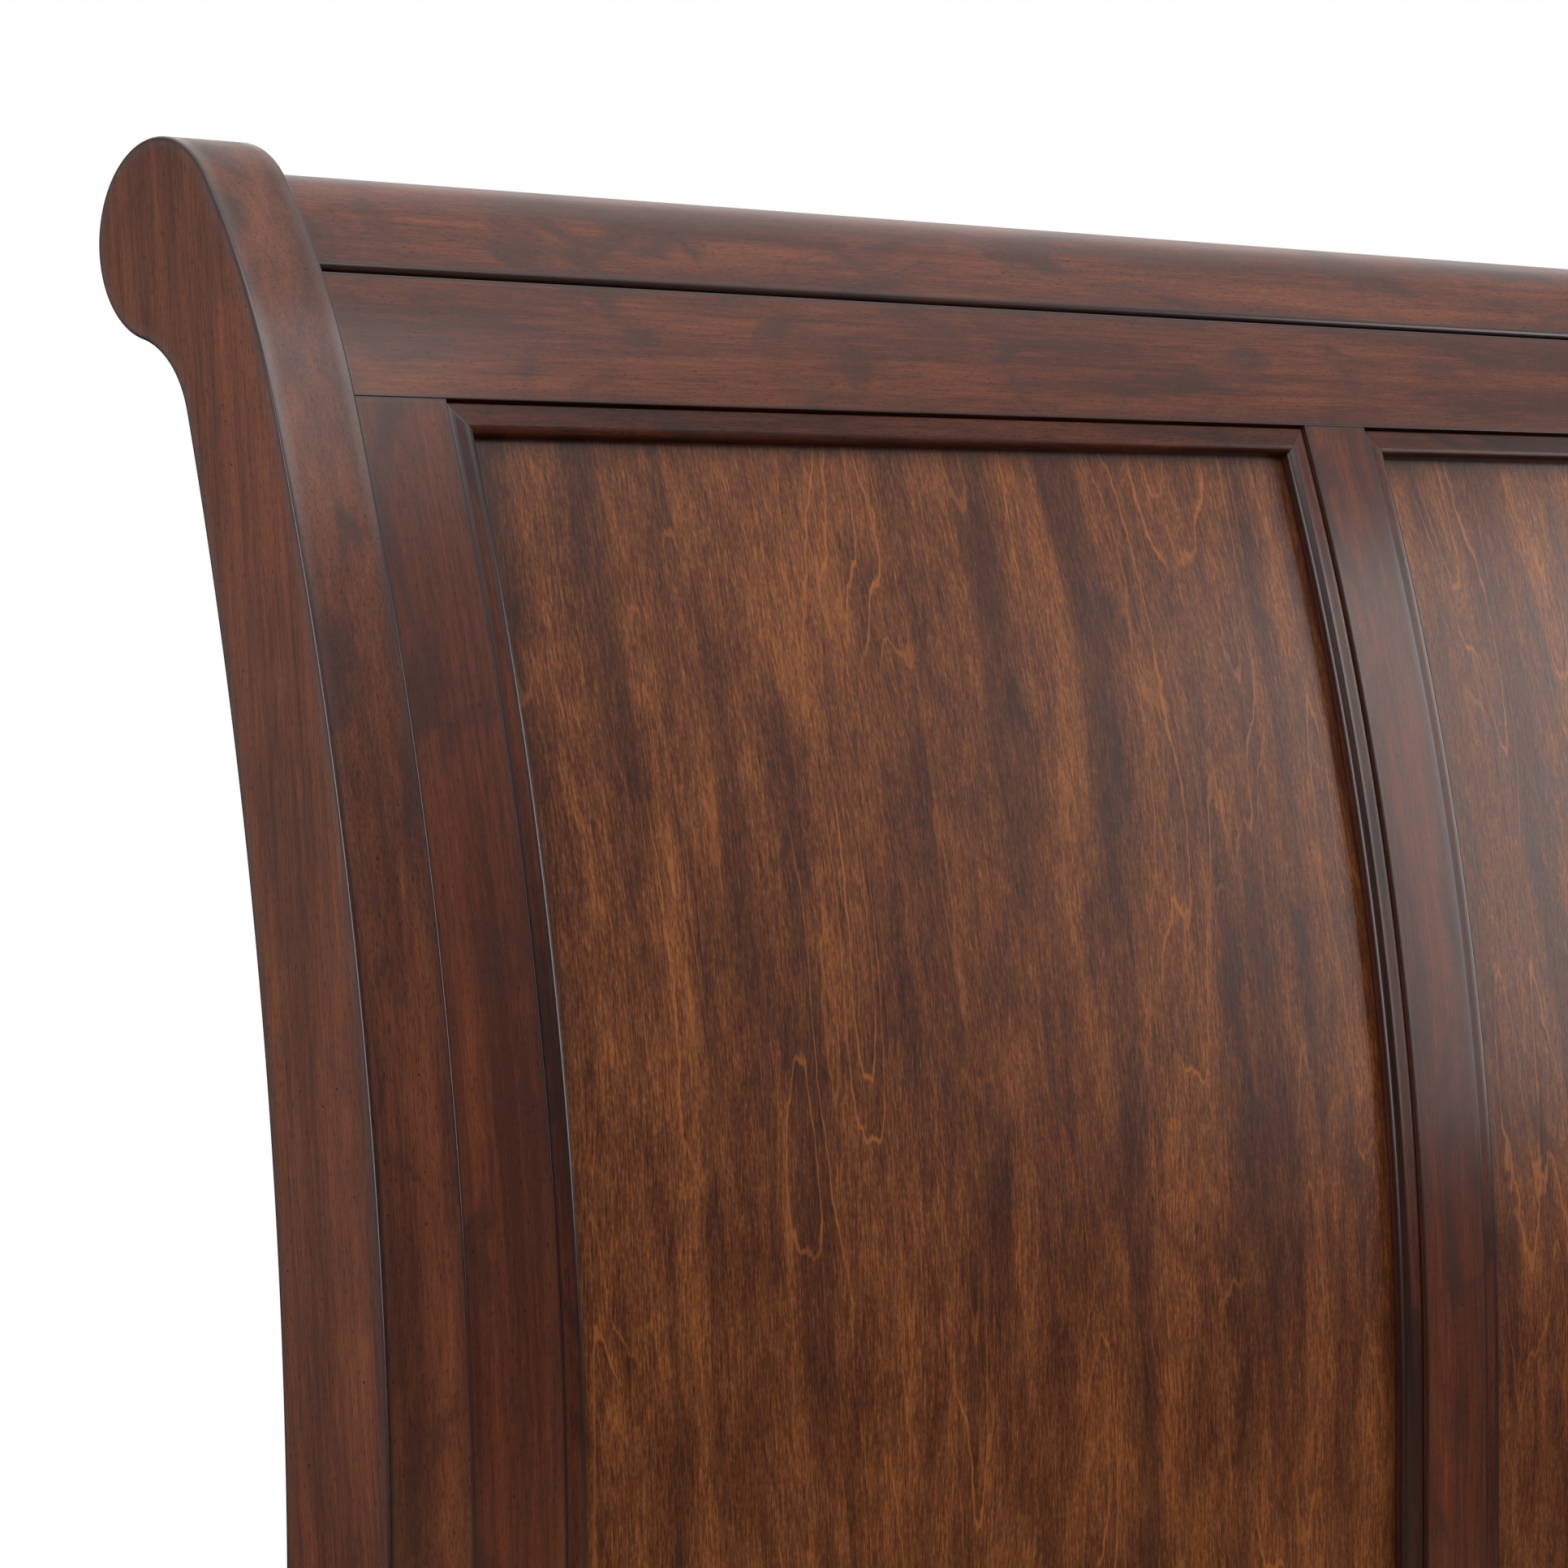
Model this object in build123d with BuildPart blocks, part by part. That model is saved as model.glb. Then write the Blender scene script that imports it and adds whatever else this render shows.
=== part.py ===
"""A queen sleigh bed: two scroll-topped panelled ends, hooked side rails, slats and a centre beam.

Millimetres, +Z up, +Y towards the headboard. The origin is on the floor, under the middle of the
bed's box. Each end is drawn in a frame of its own: x across the bed, y outwards from the mattress,
z up. Along an end's curved face, places are given as a depth behind the post's face and a run up it.
"""
import os
from math import atan2, cos, hypot, radians, sin, sqrt

from build123d import *

# ---- mattress and overall layout
mattress_length = 2032
end_play = 25                 # between the mattress and the two ends, together
inside_length = mattress_length + end_play

# ---- end frames, across the bed
post_width = 54.5
post_depth = 88.5
stile_width = 62
opening_width = 706
mullion_width = 60
half_width = post_width + stile_width + opening_width + mullion_width / 2
inner_x = half_width - post_width            # the posts' facing sides

# ---- end frames, through their thickness
set_back = 2                  # rails and stiles stand this far behind the posts' faces
frame_thickness = 28
moulding_sink = 2.25          # frame face down to the moulding's flat
panel_sink = 11.5             # frame face down to the panel
panel_thickness = 6.5
groove_depth = 10
moulding_width = 17
moulding_nose = 6             # radius of the moulding's rounded inner edge
moulding_gap = 1

# ---- end frames, up the face
lower_rail_bottom = 250
lower_rail_top = 420
frieze_height = 74
crest_ease = 3.5              # rounded lower edge of the crest roll
frieze_ease = 1.5
post_ease = 2.5

# ---- joinery
fit = 0.15                    # clearance on each side of a glued joint
end_slack = 1                 # room past the end of a tenon, tongue, dowel or pin
tenon_thickness = 12
tenon_length = 28
pocket_wall = 2               # lower rail's tenon to the hook pocket beside it
tenon_shoulder = 12           # rail edge to tenon edge
dowel_radius = 5
dowel_length = 50
dowel_spread = 38             # between the two dowels in each end of a crest roll
stile_dowels = 3
crest_dowels = 6

# ---- side rails and their hooks
rail_thickness = 28
rail_height = 200
rail_bottom = 230
rail_inset = 2                # rail's inner face to the post's inner side
rail_ease = 3
plate_thickness = 3
plate_width = 20
plate_height = 150
plate_screw_margin = 10       # plate's end to its outer screws
slot_width = 6
slot_height = 32
slot_spacing = 74
hook_thickness = 5
neck_height = 20
lip_drop = 9
lip_thickness = 6
hook_play = 0.3
pocket_depth = 12
pocket_play = 0.5             # each side of a hook
pocket_headroom = 2

# ---- slats and what carries them
ledger_thickness = 25
ledger_height = 38
ledger_top = 330
ledger_end_gap = 12
slat_count = 11
slat_width = 70
slat_thickness = 19
slat_play = 3                 # slat end to rail
slat_margin = 40              # end board to the first slat
slat_ease = 2
beam_width = 40
beam_height = 70
beam_ease = 2
bracket_thickness = 2.5
bracket_width = 96
bracket_screw_inset = (10, 12)    # bracket's side and beam's edges to the screws
cup_depth = 45
cup_height = 46
cup_play = 0.5
leg_count = 3
leg_spacing = 600
leg_size = 45
leg_bottom = 30
leg_ease = 3

# ---- feet, screws and studs
glide_radius = 16
glide_thickness = 5
glide_pin_radius = 2
glide_pin_length = 18
foot_pad_radius = 20
foot_pad_height = 9
foot_pad_bevel = 3
foot_collar_radius = 9
foot_collar_height = 5
foot_stem_radius = 4.7
foot_stem_length = 38
foot_stem_bevel = 1
foot_play = 0.4
foot_rise = 14                # the stem's room above itself, for screwing the foot in
insert_radius = 7
insert_length = 18
stud_radius = 4
stud_length = 70
screw_radius = 2
screw_head_radius = 4
screw_head_height = 2.4
screw_sink = 0.3              # head below the surface that it is driven into
plate_screw_length = 25
slat_screw_length = 35
ledger_screw_length = 40
bracket_screw_length = 18
ledger_screws = 6

TINY = 0.01


def circles_meet(first, first_radius, second, second_radius):
    """The two points where two circles cross, the lower one first."""
    across, up = second[0] - first[0], second[1] - first[1]
    apart = hypot(across, up)
    along = (apart**2 + first_radius**2 - second_radius**2) / (2 * apart)
    aside = sqrt(first_radius**2 - along**2)
    points = [
        (
            first[0] + (along * across - side * aside * up) / apart,
            first[1] + (along * up + side * aside * across) / apart,
        )
        for side in (-1, 1)
    ]
    return sorted(points, key=lambda point: point[1])


def on_circle(centre, radius, angle):
    """A point of a circle, at an angle in radians from the depth axis."""
    return (centre[0] + radius * cos(angle), centre[1] + radius * sin(angle))


class EndBoard:
    """The curve of one end: plumb, then a long sweep back, a tighter neck and a scroll."""

    def __init__(self, name, height, sweep_radius, neck_radius, scroll_radius, roll_radius, cove_radius,
                 sweep_turn, neck_turn, roll_turn, outer_radius, outer_drop, panel_faces_out):
        self.name = name
        self.height = height
        self.sweep_radius = sweep_radius
        self.neck_radius = neck_radius
        self.scroll_radius = scroll_radius
        self.roll_radius = roll_radius
        self.cove_radius = cove_radius
        self.sweep_turn = radians(sweep_turn)
        self.neck_turn = radians(neck_turn)
        self.roll_turn = radians(roll_turn)
        self.panel_faces_out = panel_faces_out
        sweep_rise = sweep_radius * sin(self.sweep_turn)
        neck_rise = neck_radius * (sin(self.neck_turn) - sin(self.sweep_turn))
        scroll_rise = scroll_radius * (1 - sin(self.neck_turn))
        self.plumb = height - sweep_rise - neck_rise - scroll_rise
        self.sweep_end = self.plumb + sweep_radius * self.sweep_turn
        self.neck_end = self.sweep_end + neck_radius * (self.neck_turn - self.sweep_turn)
        self.sweep_centre = (sweep_radius, self.plumb)
        self.neck_centre = on_circle(
            self.sweep_centre, sweep_radius - neck_radius, radians(180) - self.sweep_turn
        )
        self.scroll_centre = on_circle(
            self.neck_centre, neck_radius - scroll_radius, radians(180) - self.neck_turn
        )
        self.roll_centre = on_circle(
            self.neck_centre, neck_radius - set_back - roll_radius, radians(180) - self.roll_turn
        )
        self.reach = self.scroll_centre[0] + scroll_radius
        self.outer_radius = outer_radius
        self.outer_centre = (post_depth + outer_radius, self.plumb - outer_drop)
        self.cove_centre = circles_meet(
            self.outer_centre, outer_radius - cove_radius, self.scroll_centre, scroll_radius + cove_radius
        )[0]
        self.frieze_bottom = self.sweep_end
        self.frieze_top = self.frieze_bottom + frieze_height

    def stand(self, frame):
        """Place the board: frame has its x across the bed, its y outwards and its z up."""
        self.frame = frame

    def point(self, depth, run):
        """The (y, z) of a place, from its depth behind the face and its run up the face."""
        if run <= self.plumb:
            return (depth, run)
        if run <= self.sweep_end:
            turn = (run - self.plumb) / self.sweep_radius
            return on_circle(self.sweep_centre, self.sweep_radius - depth, radians(180) - turn)
        turn = self.sweep_turn + (run - self.sweep_end) / self.neck_radius
        return on_circle(self.neck_centre, self.neck_radius - depth, radians(180) - turn)

    def locate(self, y, z):
        """The depth and run of a (y, z): the inverse of point."""
        if z <= self.plumb:
            return y, z
        turn = atan2(z - self.sweep_centre[1], self.sweep_centre[0] - y)
        if turn <= self.sweep_turn:
            away = hypot(z - self.sweep_centre[1], self.sweep_centre[0] - y)
            return self.sweep_radius - away, self.plumb + turn * self.sweep_radius
        turn = atan2(z - self.neck_centre[1], self.neck_centre[0] - y)
        away = hypot(z - self.neck_centre[1], self.neck_centre[0] - y)
        return self.neck_radius - away, self.sweep_end + (turn - self.sweep_turn) * self.neck_radius

    def turn_at(self, run):
        """How far the face leans back from plumb at a run, in radians."""
        if run <= self.sweep_end:
            return max(0, run - self.plumb) / self.sweep_radius
        return self.sweep_turn + (run - self.sweep_end) / self.neck_radius

    def below(self, sink):
        """The depth of a layer that lies this far under the panelled side's face."""
        return set_back + frame_thickness - sink if self.panel_faces_out else set_back + sink

    def layer(self, top, bottom):
        """The depths of a layer between two sinks, nearest the mattress first."""
        return sorted((self.below(top), self.below(bottom)))

    def place(self, x, y, z):
        return self.frame.from_local_coords(Vector(x, y, z))

    def way(self, x, y, z):
        """A direction of the board's frame, as one of the bed's."""
        return self.place(x, y, z) - self.place(0, 0, 0)

    def section(self, x):
        """The plane across the board at x, on which a sketch is (y, z) and extrudes along x."""
        return Plane(self.place(x, 0, 0), x_dir=self.way(0, 1, 0), z_dir=self.way(1, 0, 0))

    def face(self, depth=0):
        """The plane at a depth in the plumb part, on which a sketch is (x, z); out is to the mattress."""
        return Plane(self.place(0, depth, 0), x_dir=self.way(1, 0, 0), z_dir=self.way(0, -1, 0))

    def crossing(self, x, depth, run):
        """The plane square to the face's run at a place."""
        turn = self.turn_at(run)
        y, z = self.point(depth, run)
        return Plane(self.place(x, y, z), x_dir=self.way(1, 0, 0), z_dir=self.way(0, sin(turn), cos(turn)))

    def mitre(self, x, run, inward_x, inward_run):
        """The mitre plane at a moulding's outer corner; the strip along x lies on its upper side."""
        turn = self.turn_at(run)
        y, z = self.point(self.below(moulding_sink), run)
        return Plane(
            self.place(x, y, z),
            z_dir=self.way(inward_x, -inward_run * sin(turn), -inward_run * cos(turn)),
        )

    def edges_at(self, piece, depth, x=None, run=None):
        """A piece's edges whose middles lie at a depth, and at an x or a run."""
        chosen = ShapeList()
        for edge in piece.edges():
            middle = self.frame.to_local_coords(edge.position_at(0.5))
            edge_depth, edge_run = self.locate(middle.Y, middle.Z)
            fits_x = x is None or abs(middle.X - x) < TINY
            fits_run = run is None or abs(edge_run - run) < TINY
            if abs(edge_depth - depth) < TINY and fits_x and fits_run:
                chosen.append(edge)
        return chosen


def strip(board, x, near, far, low, high):
    """A board's cross-section between two depths and two runs, in the section plane at x."""
    knots = [low] + [knot for knot in (board.plumb, board.sweep_end) if low + TINY < knot < high - TINY]
    knots.append(high)
    with BuildSketch(board.section(x)) as outline:
        with BuildLine():
            for depth in (near, far):
                for start, end in zip(knots, knots[1:]):
                    if end <= board.plumb:
                        Line(board.point(depth, start), board.point(depth, end))
                    else:
                        ThreePointArc(*[board.point(depth, run) for run in (start, (start + end) / 2, end)])
            for run in (low, high):
                Line(board.point(near, run), board.point(far, run))
        make_face()
    return outline.sketch


def post_outline(board, x):
    """A post's side: plumb, sweep, neck, scroll, cove under the scroll, and the long outer curve."""
    knots = [board.plumb, board.sweep_end, board.neck_end]
    scroll, cove, outer = board.scroll_centre, board.cove_centre, board.outer_centre
    to_cove = atan2(cove[1] - scroll[1], cove[0] - scroll[0])
    from_outer = atan2(cove[1] - outer[1], cove[0] - outer[0])
    neck_angle = radians(180) - board.neck_turn
    cove_start = on_circle(cove, board.cove_radius, to_cove + radians(180))
    cove_end = on_circle(outer, board.outer_radius, from_outer)
    cove_middle = on_circle(cove, board.cove_radius, (to_cove + radians(180) + from_outer) / 2)
    with BuildSketch(board.section(x)) as outline:
        with BuildLine():
            Line((0, glide_thickness), board.point(0, board.plumb))
            for start, end in zip(knots, knots[1:]):
                ThreePointArc(*[board.point(0, run) for run in (start, (start + end) / 2, end)])
            ThreePointArc(
                board.point(0, board.neck_end),
                on_circle(scroll, board.scroll_radius, (neck_angle + to_cove) / 2),
                cove_start,
            )
            ThreePointArc(cove_start, cove_middle, cove_end)
            ThreePointArc(
                cove_end,
                on_circle(outer, board.outer_radius, (from_outer + radians(180)) / 2),
                (post_depth, outer[1]),
            )
            Polyline((post_depth, outer[1]), (post_depth, glide_thickness), (0, glide_thickness))
        make_face()
    return outline.sketch


def crest_outline(board, x):
    """A crest roll's end: flush with the frieze in front, round above, tucked behind the frieze below."""
    roll, back = board.roll_centre, set_back + frame_thickness + fit
    tuck = circles_meet(roll, board.roll_radius, board.neck_centre, board.neck_radius - back)[0]
    roll_run = board.sweep_end + (board.roll_turn - board.sweep_turn) * board.neck_radius
    start_angle = radians(180) - board.roll_turn
    end_angle = atan2(tuck[1] - roll[1], tuck[0] - roll[0])
    tuck_run = board.locate(*tuck)[1]
    with BuildSketch(board.section(x)) as outline:
        with BuildLine():
            ThreePointArc(
                *[board.point(set_back, run) for run in
                  (board.frieze_top, (board.frieze_top + roll_run) / 2, roll_run)]
            )
            ThreePointArc(
                board.point(set_back, roll_run),
                on_circle(roll, board.roll_radius, (start_angle + end_angle) / 2),
                tuck,
            )
            ThreePointArc(
                *[board.point(back, run) for run in
                  (tuck_run, (tuck_run + board.frieze_top) / 2, board.frieze_top)]
            )
            Line(board.point(back, board.frieze_top), board.point(set_back, board.frieze_top))
        make_face()
    return outline.sketch


def countersunk_screw(length, play=0):
    """A wood screw pointing down, its head just under the origin; play makes its hole, open above."""
    top = 0 if play else -screw_sink
    with BuildPart() as screw:
        with BuildSketch(Plane.XZ):
            with BuildLine():
                Polyline(
                    (0, top),
                    (screw_head_radius + play, top),
                    (screw_head_radius + play, -screw_sink - TINY),
                    (screw_radius + play, -screw_sink - screw_head_height - play),
                    (screw_radius + play, -length - play),
                    (0, -length - play),
                    close=True,
                )
            make_face()
        revolve(axis=Axis.Z)
    return screw.part


def plate_screw_seats(board, side, outward):
    """Where a plate's screws go in: -1 from the mattress's side into the post, 1 into the rail."""
    return [
        Plane(board.place(side * rail_middle_x, 0, plate_z + step * plate_screw_reach),
              z_dir=board.way(0, outward, 0))
        for step in (-1, 0, 1)
    ]


def bracket_screw_seats(board):
    """Where the four screws of a beam bracket go in, on the bracket's face."""
    aside = bracket_width / 2 - bracket_screw_inset[0]
    apart = beam_height / 2 - bracket_screw_inset[1]
    return [
        Plane(board.place(x * aside, set_back - bracket_thickness, ledger_top - beam_height / 2 + z * apart),
              z_dir=board.way(0, -1, 0))
        for x in (-1, 1) for z in (-1, 1)
    ]


def ledger_screw_seats(side):
    """Where a ledger's screws go in, on its inner face."""
    rows = [foot_y + inside_length * (number + 0.5) / ledger_screws for number in range(ledger_screws)]
    return [
        Plane((side * (rail_inner_x - ledger_thickness), y, ledger_middle_z), z_dir=(-side, 0, 0))
        for y in rows
    ]


def slat_screw_seat(side, y):
    """Where the screw at one end of a slat goes in."""
    return Plane((side * (rail_inner_x - ledger_thickness / 2), y, slat_top))


def finish_piece(name, piece):
    piece.label = name
    export_step(piece, f"parts/{name}.step")


os.makedirs("parts", exist_ok=True)

headboard = EndBoard(
    "headboard", height=1420, sweep_radius=1960, neck_radius=433, scroll_radius=55, roll_radius=48,
    cove_radius=58, sweep_turn=18.5, neck_turn=36, roll_turn=33.6, outer_radius=2270, outer_drop=18,
    panel_faces_out=False,
)
footboard = EndBoard(
    "footboard", height=890, sweep_radius=1000, neck_radius=330, scroll_radius=48, roll_radius=42,
    cove_radius=46, sweep_turn=18.5, neck_turn=37, roll_turn=34, outer_radius=1230, outer_drop=18,
    panel_faces_out=True,
)
middle_y = (footboard.reach - headboard.reach) / 2
head_y = middle_y + inside_length / 2
foot_y = middle_y - inside_length / 2
headboard.stand(Plane((0, head_y, 0), x_dir=(1, 0, 0), z_dir=(0, 0, 1)))
footboard.stand(Plane((0, foot_y, 0), x_dir=(-1, 0, 0), z_dir=(0, 0, 1)))

rail_inner_x = inner_x + rail_inset
rail_middle_x = rail_inner_x + rail_thickness / 2
plate_z = rail_bottom + rail_height / 2
slot_heights = [plate_z - slot_spacing / 2, plate_z + slot_spacing / 2]
plate_screw_reach = plate_height / 2 - plate_screw_margin
pocket_width = slot_width + 2 * pocket_play
lower_tenon_length = rail_middle_x - inner_x - pocket_width / 2 - pocket_wall
ledger_middle_z = ledger_top - ledger_height / 2
slat_top = ledger_top + slat_thickness
mid_depth = set_back + frame_thickness / 2
openings = {
    "left": (-inner_x + stile_width, -mullion_width / 2),
    "right": (mullion_width / 2, inner_x - stile_width),
}

for board in (headboard, footboard):
    frame_near, frame_far = set_back, set_back + frame_thickness
    panel_near, panel_far = board.layer(panel_sink, panel_sink + panel_thickness)
    tenon_near, tenon_far = mid_depth - tenon_thickness / 2, mid_depth + tenon_thickness / 2
    lower_tenon = (lower_rail_bottom + tenon_shoulder, lower_rail_top - groove_depth - tenon_shoulder)
    frieze_tenon = (board.frieze_bottom + groove_depth + tenon_shoulder / 2,
                    board.frieze_top - tenon_shoulder)
    stile_run = board.frieze_bottom - lower_rail_top
    dowel_runs = [
        lower_rail_top + stile_run * (number + 0.5) / stile_dowels for number in range(stile_dowels)
    ]
    roll_lean = board.roll_turn + radians(90)
    roll_dowels = [
        on_circle(board.roll_centre, dowel_spread / 2, roll_lean + half_turn)
        for half_turn in (0, radians(180))
    ]
    end_dowels = [board.point(mid_depth, run) for run in dowel_runs] + roll_dowels
    crest_dowel_xs = [
        inner_x * (2 * number + 1 - crest_dowels) / crest_dowels for number in range(crest_dowels)
    ]

    # posts: solid, with mortises for the rails' tenons, dowel holes and the rail hooks' seats
    for side, hand in ((-1, "left"), (1, "right")):
        with BuildPart() as post:
            extrude(post_outline(board, side * (half_width - post_width / 2)), amount=post_width / 2,
                    both=True)
            fillet(post.faces().filter_by(Axis.X).edges(), radius=post_ease)
            for (low, high), reach in ((lower_tenon, lower_tenon_length), (frieze_tenon, tenon_length)):
                mortise = strip(board, side * inner_x, tenon_near - fit, tenon_far + fit, low - fit,
                                high + fit)
                extrude(mortise, amount=side * (reach + end_slack), mode=Mode.SUBTRACT)
            with BuildSketch(board.section(side * inner_x)):
                with Locations(*end_dowels):
                    Circle(dowel_radius + fit)
            extrude(amount=side * (dowel_length / 2 + end_slack), mode=Mode.SUBTRACT)
            with BuildSketch(board.face()):
                with Locations((side * rail_middle_x, plate_z)):
                    Rectangle(plate_width + 2 * fit, plate_height + 2 * fit)
            extrude(amount=-plate_thickness, mode=Mode.SUBTRACT)
            with BuildSketch(board.face(plate_thickness)):
                with Locations(*[(side * rail_middle_x, z - lip_drop / 2) for z in slot_heights]):
                    Rectangle(pocket_width, slot_height + lip_drop + 2 * pocket_headroom)
            extrude(amount=-pocket_depth, mode=Mode.SUBTRACT)
            for seat in plate_screw_seats(board, side, -1):
                add(countersunk_screw(plate_screw_length, fit).moved(seat.location), mode=Mode.SUBTRACT)
            with BuildSketch(Plane(board.place(side * (half_width - post_width / 2), post_depth / 2, 0))):
                Circle(glide_pin_radius + fit)
            extrude(amount=glide_thickness + glide_pin_length + end_slack, mode=Mode.SUBTRACT)
        finish_piece(f"{board.name}_post_{hand}", post.part)

    # crest roll
    with BuildPart() as crest:
        extrude(crest_outline(board, 0), amount=inner_x, both=True)
        fillet(board.edges_at(crest, set_back, x=0, run=board.frieze_top), radius=crest_ease)
        for side in (-1, 1):
            with BuildSketch(board.section(side * inner_x)):
                with Locations(*roll_dowels):
                    Circle(dowel_radius + fit)
            extrude(amount=-side * (dowel_length / 2 + end_slack), mode=Mode.SUBTRACT)
        for x in crest_dowel_xs:
            with BuildSketch(board.crossing(x, mid_depth, board.frieze_top)):
                Circle(dowel_radius + fit)
            extrude(amount=dowel_length / 2 + end_slack, mode=Mode.SUBTRACT)
    finish_piece(f"{board.name}_crest_roll", crest.part)

    # frieze and lower rail: tenoned into the posts, grooved for the panels
    rails = (
        ("frieze_rail", board.frieze_bottom, board.frieze_top,
         (board.frieze_bottom, board.frieze_bottom + groove_depth), frieze_tenon, tenon_length),
        ("lower_rail", lower_rail_bottom, lower_rail_top,
         (lower_rail_top - groove_depth, lower_rail_top), lower_tenon, lower_tenon_length),
    )
    for name, low, high, groove, tenon, reach in rails:
        with BuildPart() as rail:
            extrude(strip(board, 0, frame_near, frame_far, low, high), amount=inner_x, both=True)
            if name == "frieze_rail":
                fillet(board.edges_at(rail, set_back, x=0, run=high), radius=frieze_ease)
                for x in crest_dowel_xs:
                    with BuildSketch(board.crossing(x, mid_depth, high)):
                        Circle(dowel_radius + fit)
                    extrude(amount=-dowel_length / 2 - end_slack, mode=Mode.SUBTRACT)
            else:
                for seat in bracket_screw_seats(board):
                    add(countersunk_screw(bracket_screw_length, fit).moved(seat.location),
                        mode=Mode.SUBTRACT)
            channel = strip(board, 0, panel_near - fit, panel_far + fit, *groove)
            extrude(channel, amount=inner_x, both=True, mode=Mode.SUBTRACT)
            for side in (-1, 1):
                tongue = strip(board, side * inner_x, tenon_near, tenon_far, *tenon)
                extrude(tongue, amount=side * reach)
        finish_piece(f"{board.name}_{name}", rail.part)

    # stiles beside the posts and the mullion between the panels, stub-tenoned into the grooves
    uprights = (
        ("stile_left", -inner_x, -inner_x + stile_width, (1,)),
        ("stile_right", inner_x - stile_width, inner_x, (-1,)),
        ("mullion", -mullion_width / 2, mullion_width / 2, (-1, 1)),
    )
    for name, left, right, grooved in uprights:
        with BuildPart() as upright:
            body = strip(board, left, frame_near, frame_far, lower_rail_top, board.frieze_bottom)
            extrude(body, amount=right - left)
            for edge in grooved:
                channel = strip(board, right if edge > 0 else left, panel_near - fit, panel_far + fit,
                                lower_rail_top, board.frieze_bottom)
                extrude(channel, amount=-edge * groove_depth, mode=Mode.SUBTRACT)
            stub_left = left + (groove_depth if -1 in grooved else 0)
            stub_right = right - (groove_depth if 1 in grooved else 0)
            for low, high in (
                (lower_rail_top - groove_depth + end_slack, lower_rail_top),
                (board.frieze_bottom, board.frieze_bottom + groove_depth - end_slack),
            ):
                extrude(strip(board, stub_left, panel_near, panel_far, low, high),
                        amount=stub_right - stub_left)
            if len(grooved) == 1:
                side = -grooved[0]
                with BuildSketch(board.section(side * inner_x)):
                    with Locations(*[board.point(mid_depth, run) for run in dowel_runs]):
                        Circle(dowel_radius + fit)
                extrude(amount=-side * (dowel_length / 2 + end_slack), mode=Mode.SUBTRACT)
        finish_piece(f"{board.name}_{name}", upright.part)

    # bent panels, loose in the grooves, and the four mitred strips round each
    moulding_near, moulding_far = board.layer(moulding_sink, panel_sink - fit)
    moulding_low, moulding_high = lower_rail_top + moulding_gap, board.frieze_bottom - moulding_gap
    for hand, (left, right) in openings.items():
        tuck = groove_depth - end_slack
        with BuildPart() as panel:
            sheet = strip(board, left - tuck, panel_near, panel_far, lower_rail_top - tuck,
                          board.frieze_bottom + tuck)
            extrude(sheet, amount=right - left + 2 * tuck)
        finish_piece(f"{board.name}_panel_{hand}", panel.part)

        strips = []
        outer_left, outer_right = left + moulding_gap, right - moulding_gap
        for inward, outer in ((1, outer_left), (-1, outer_right)):
            with BuildPart() as upright_strip:
                body = strip(board, outer, moulding_near, moulding_far, moulding_low, moulding_high)
                extrude(body, amount=inward * moulding_width)
                nose = board.edges_at(upright_strip, board.below(moulding_sink),
                                      x=outer + inward * moulding_width)
                fillet(nose, radius=moulding_nose)
                split(bisect_by=board.mitre(outer, moulding_low, inward, 1), keep=Keep.BOTTOM)
                split(bisect_by=board.mitre(outer, moulding_high, inward, -1), keep=Keep.BOTTOM)
            strips.append(upright_strip.part)
        for inward, outer in ((1, moulding_low), (-1, moulding_high)):
            inner = outer + inward * moulding_width
            with BuildPart() as level_strip:
                body = strip(board, outer_left, moulding_near, moulding_far, min(outer, inner),
                             max(outer, inner))
                extrude(body, amount=outer_right - outer_left)
                fillet(board.edges_at(level_strip, board.below(moulding_sink), run=inner),
                       radius=moulding_nose)
                split(bisect_by=board.mitre(outer_left, outer, 1, inward), keep=Keep.TOP)
                split(bisect_by=board.mitre(outer_right, outer, -1, inward), keep=Keep.TOP)
            strips.append(level_strip.part)
        finish_piece(f"{board.name}_moulding_{hand}", Compound(children=strips))

    # dowels: stiles and crest roll to the posts, crest roll to the frieze
    with BuildPart() as dowels:
        for side in (-1, 1):
            with BuildSketch(board.section(side * inner_x)):
                with Locations(*end_dowels):
                    Circle(dowel_radius)
            extrude(amount=dowel_length / 2, both=True)
        for x in crest_dowel_xs:
            with BuildSketch(board.crossing(x, mid_depth, board.frieze_top)):
                Circle(dowel_radius)
            extrude(amount=dowel_length / 2, both=True)
    finish_piece(f"{board.name}_dowels", dowels.part)

# tack glides under the four posts
with BuildPart() as glides:
    for board in (headboard, footboard):
        for side in (-1, 1):
            spot = board.place(side * (half_width - post_width / 2), post_depth / 2, 0)
            with BuildSketch(Plane(spot)):
                Circle(glide_radius)
            extrude(amount=glide_thickness)
            with BuildSketch(Plane(spot)):
                Circle(glide_pin_radius)
            extrude(amount=glide_thickness + glide_pin_length)
finish_piece("post_glides", glides.part)

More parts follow.
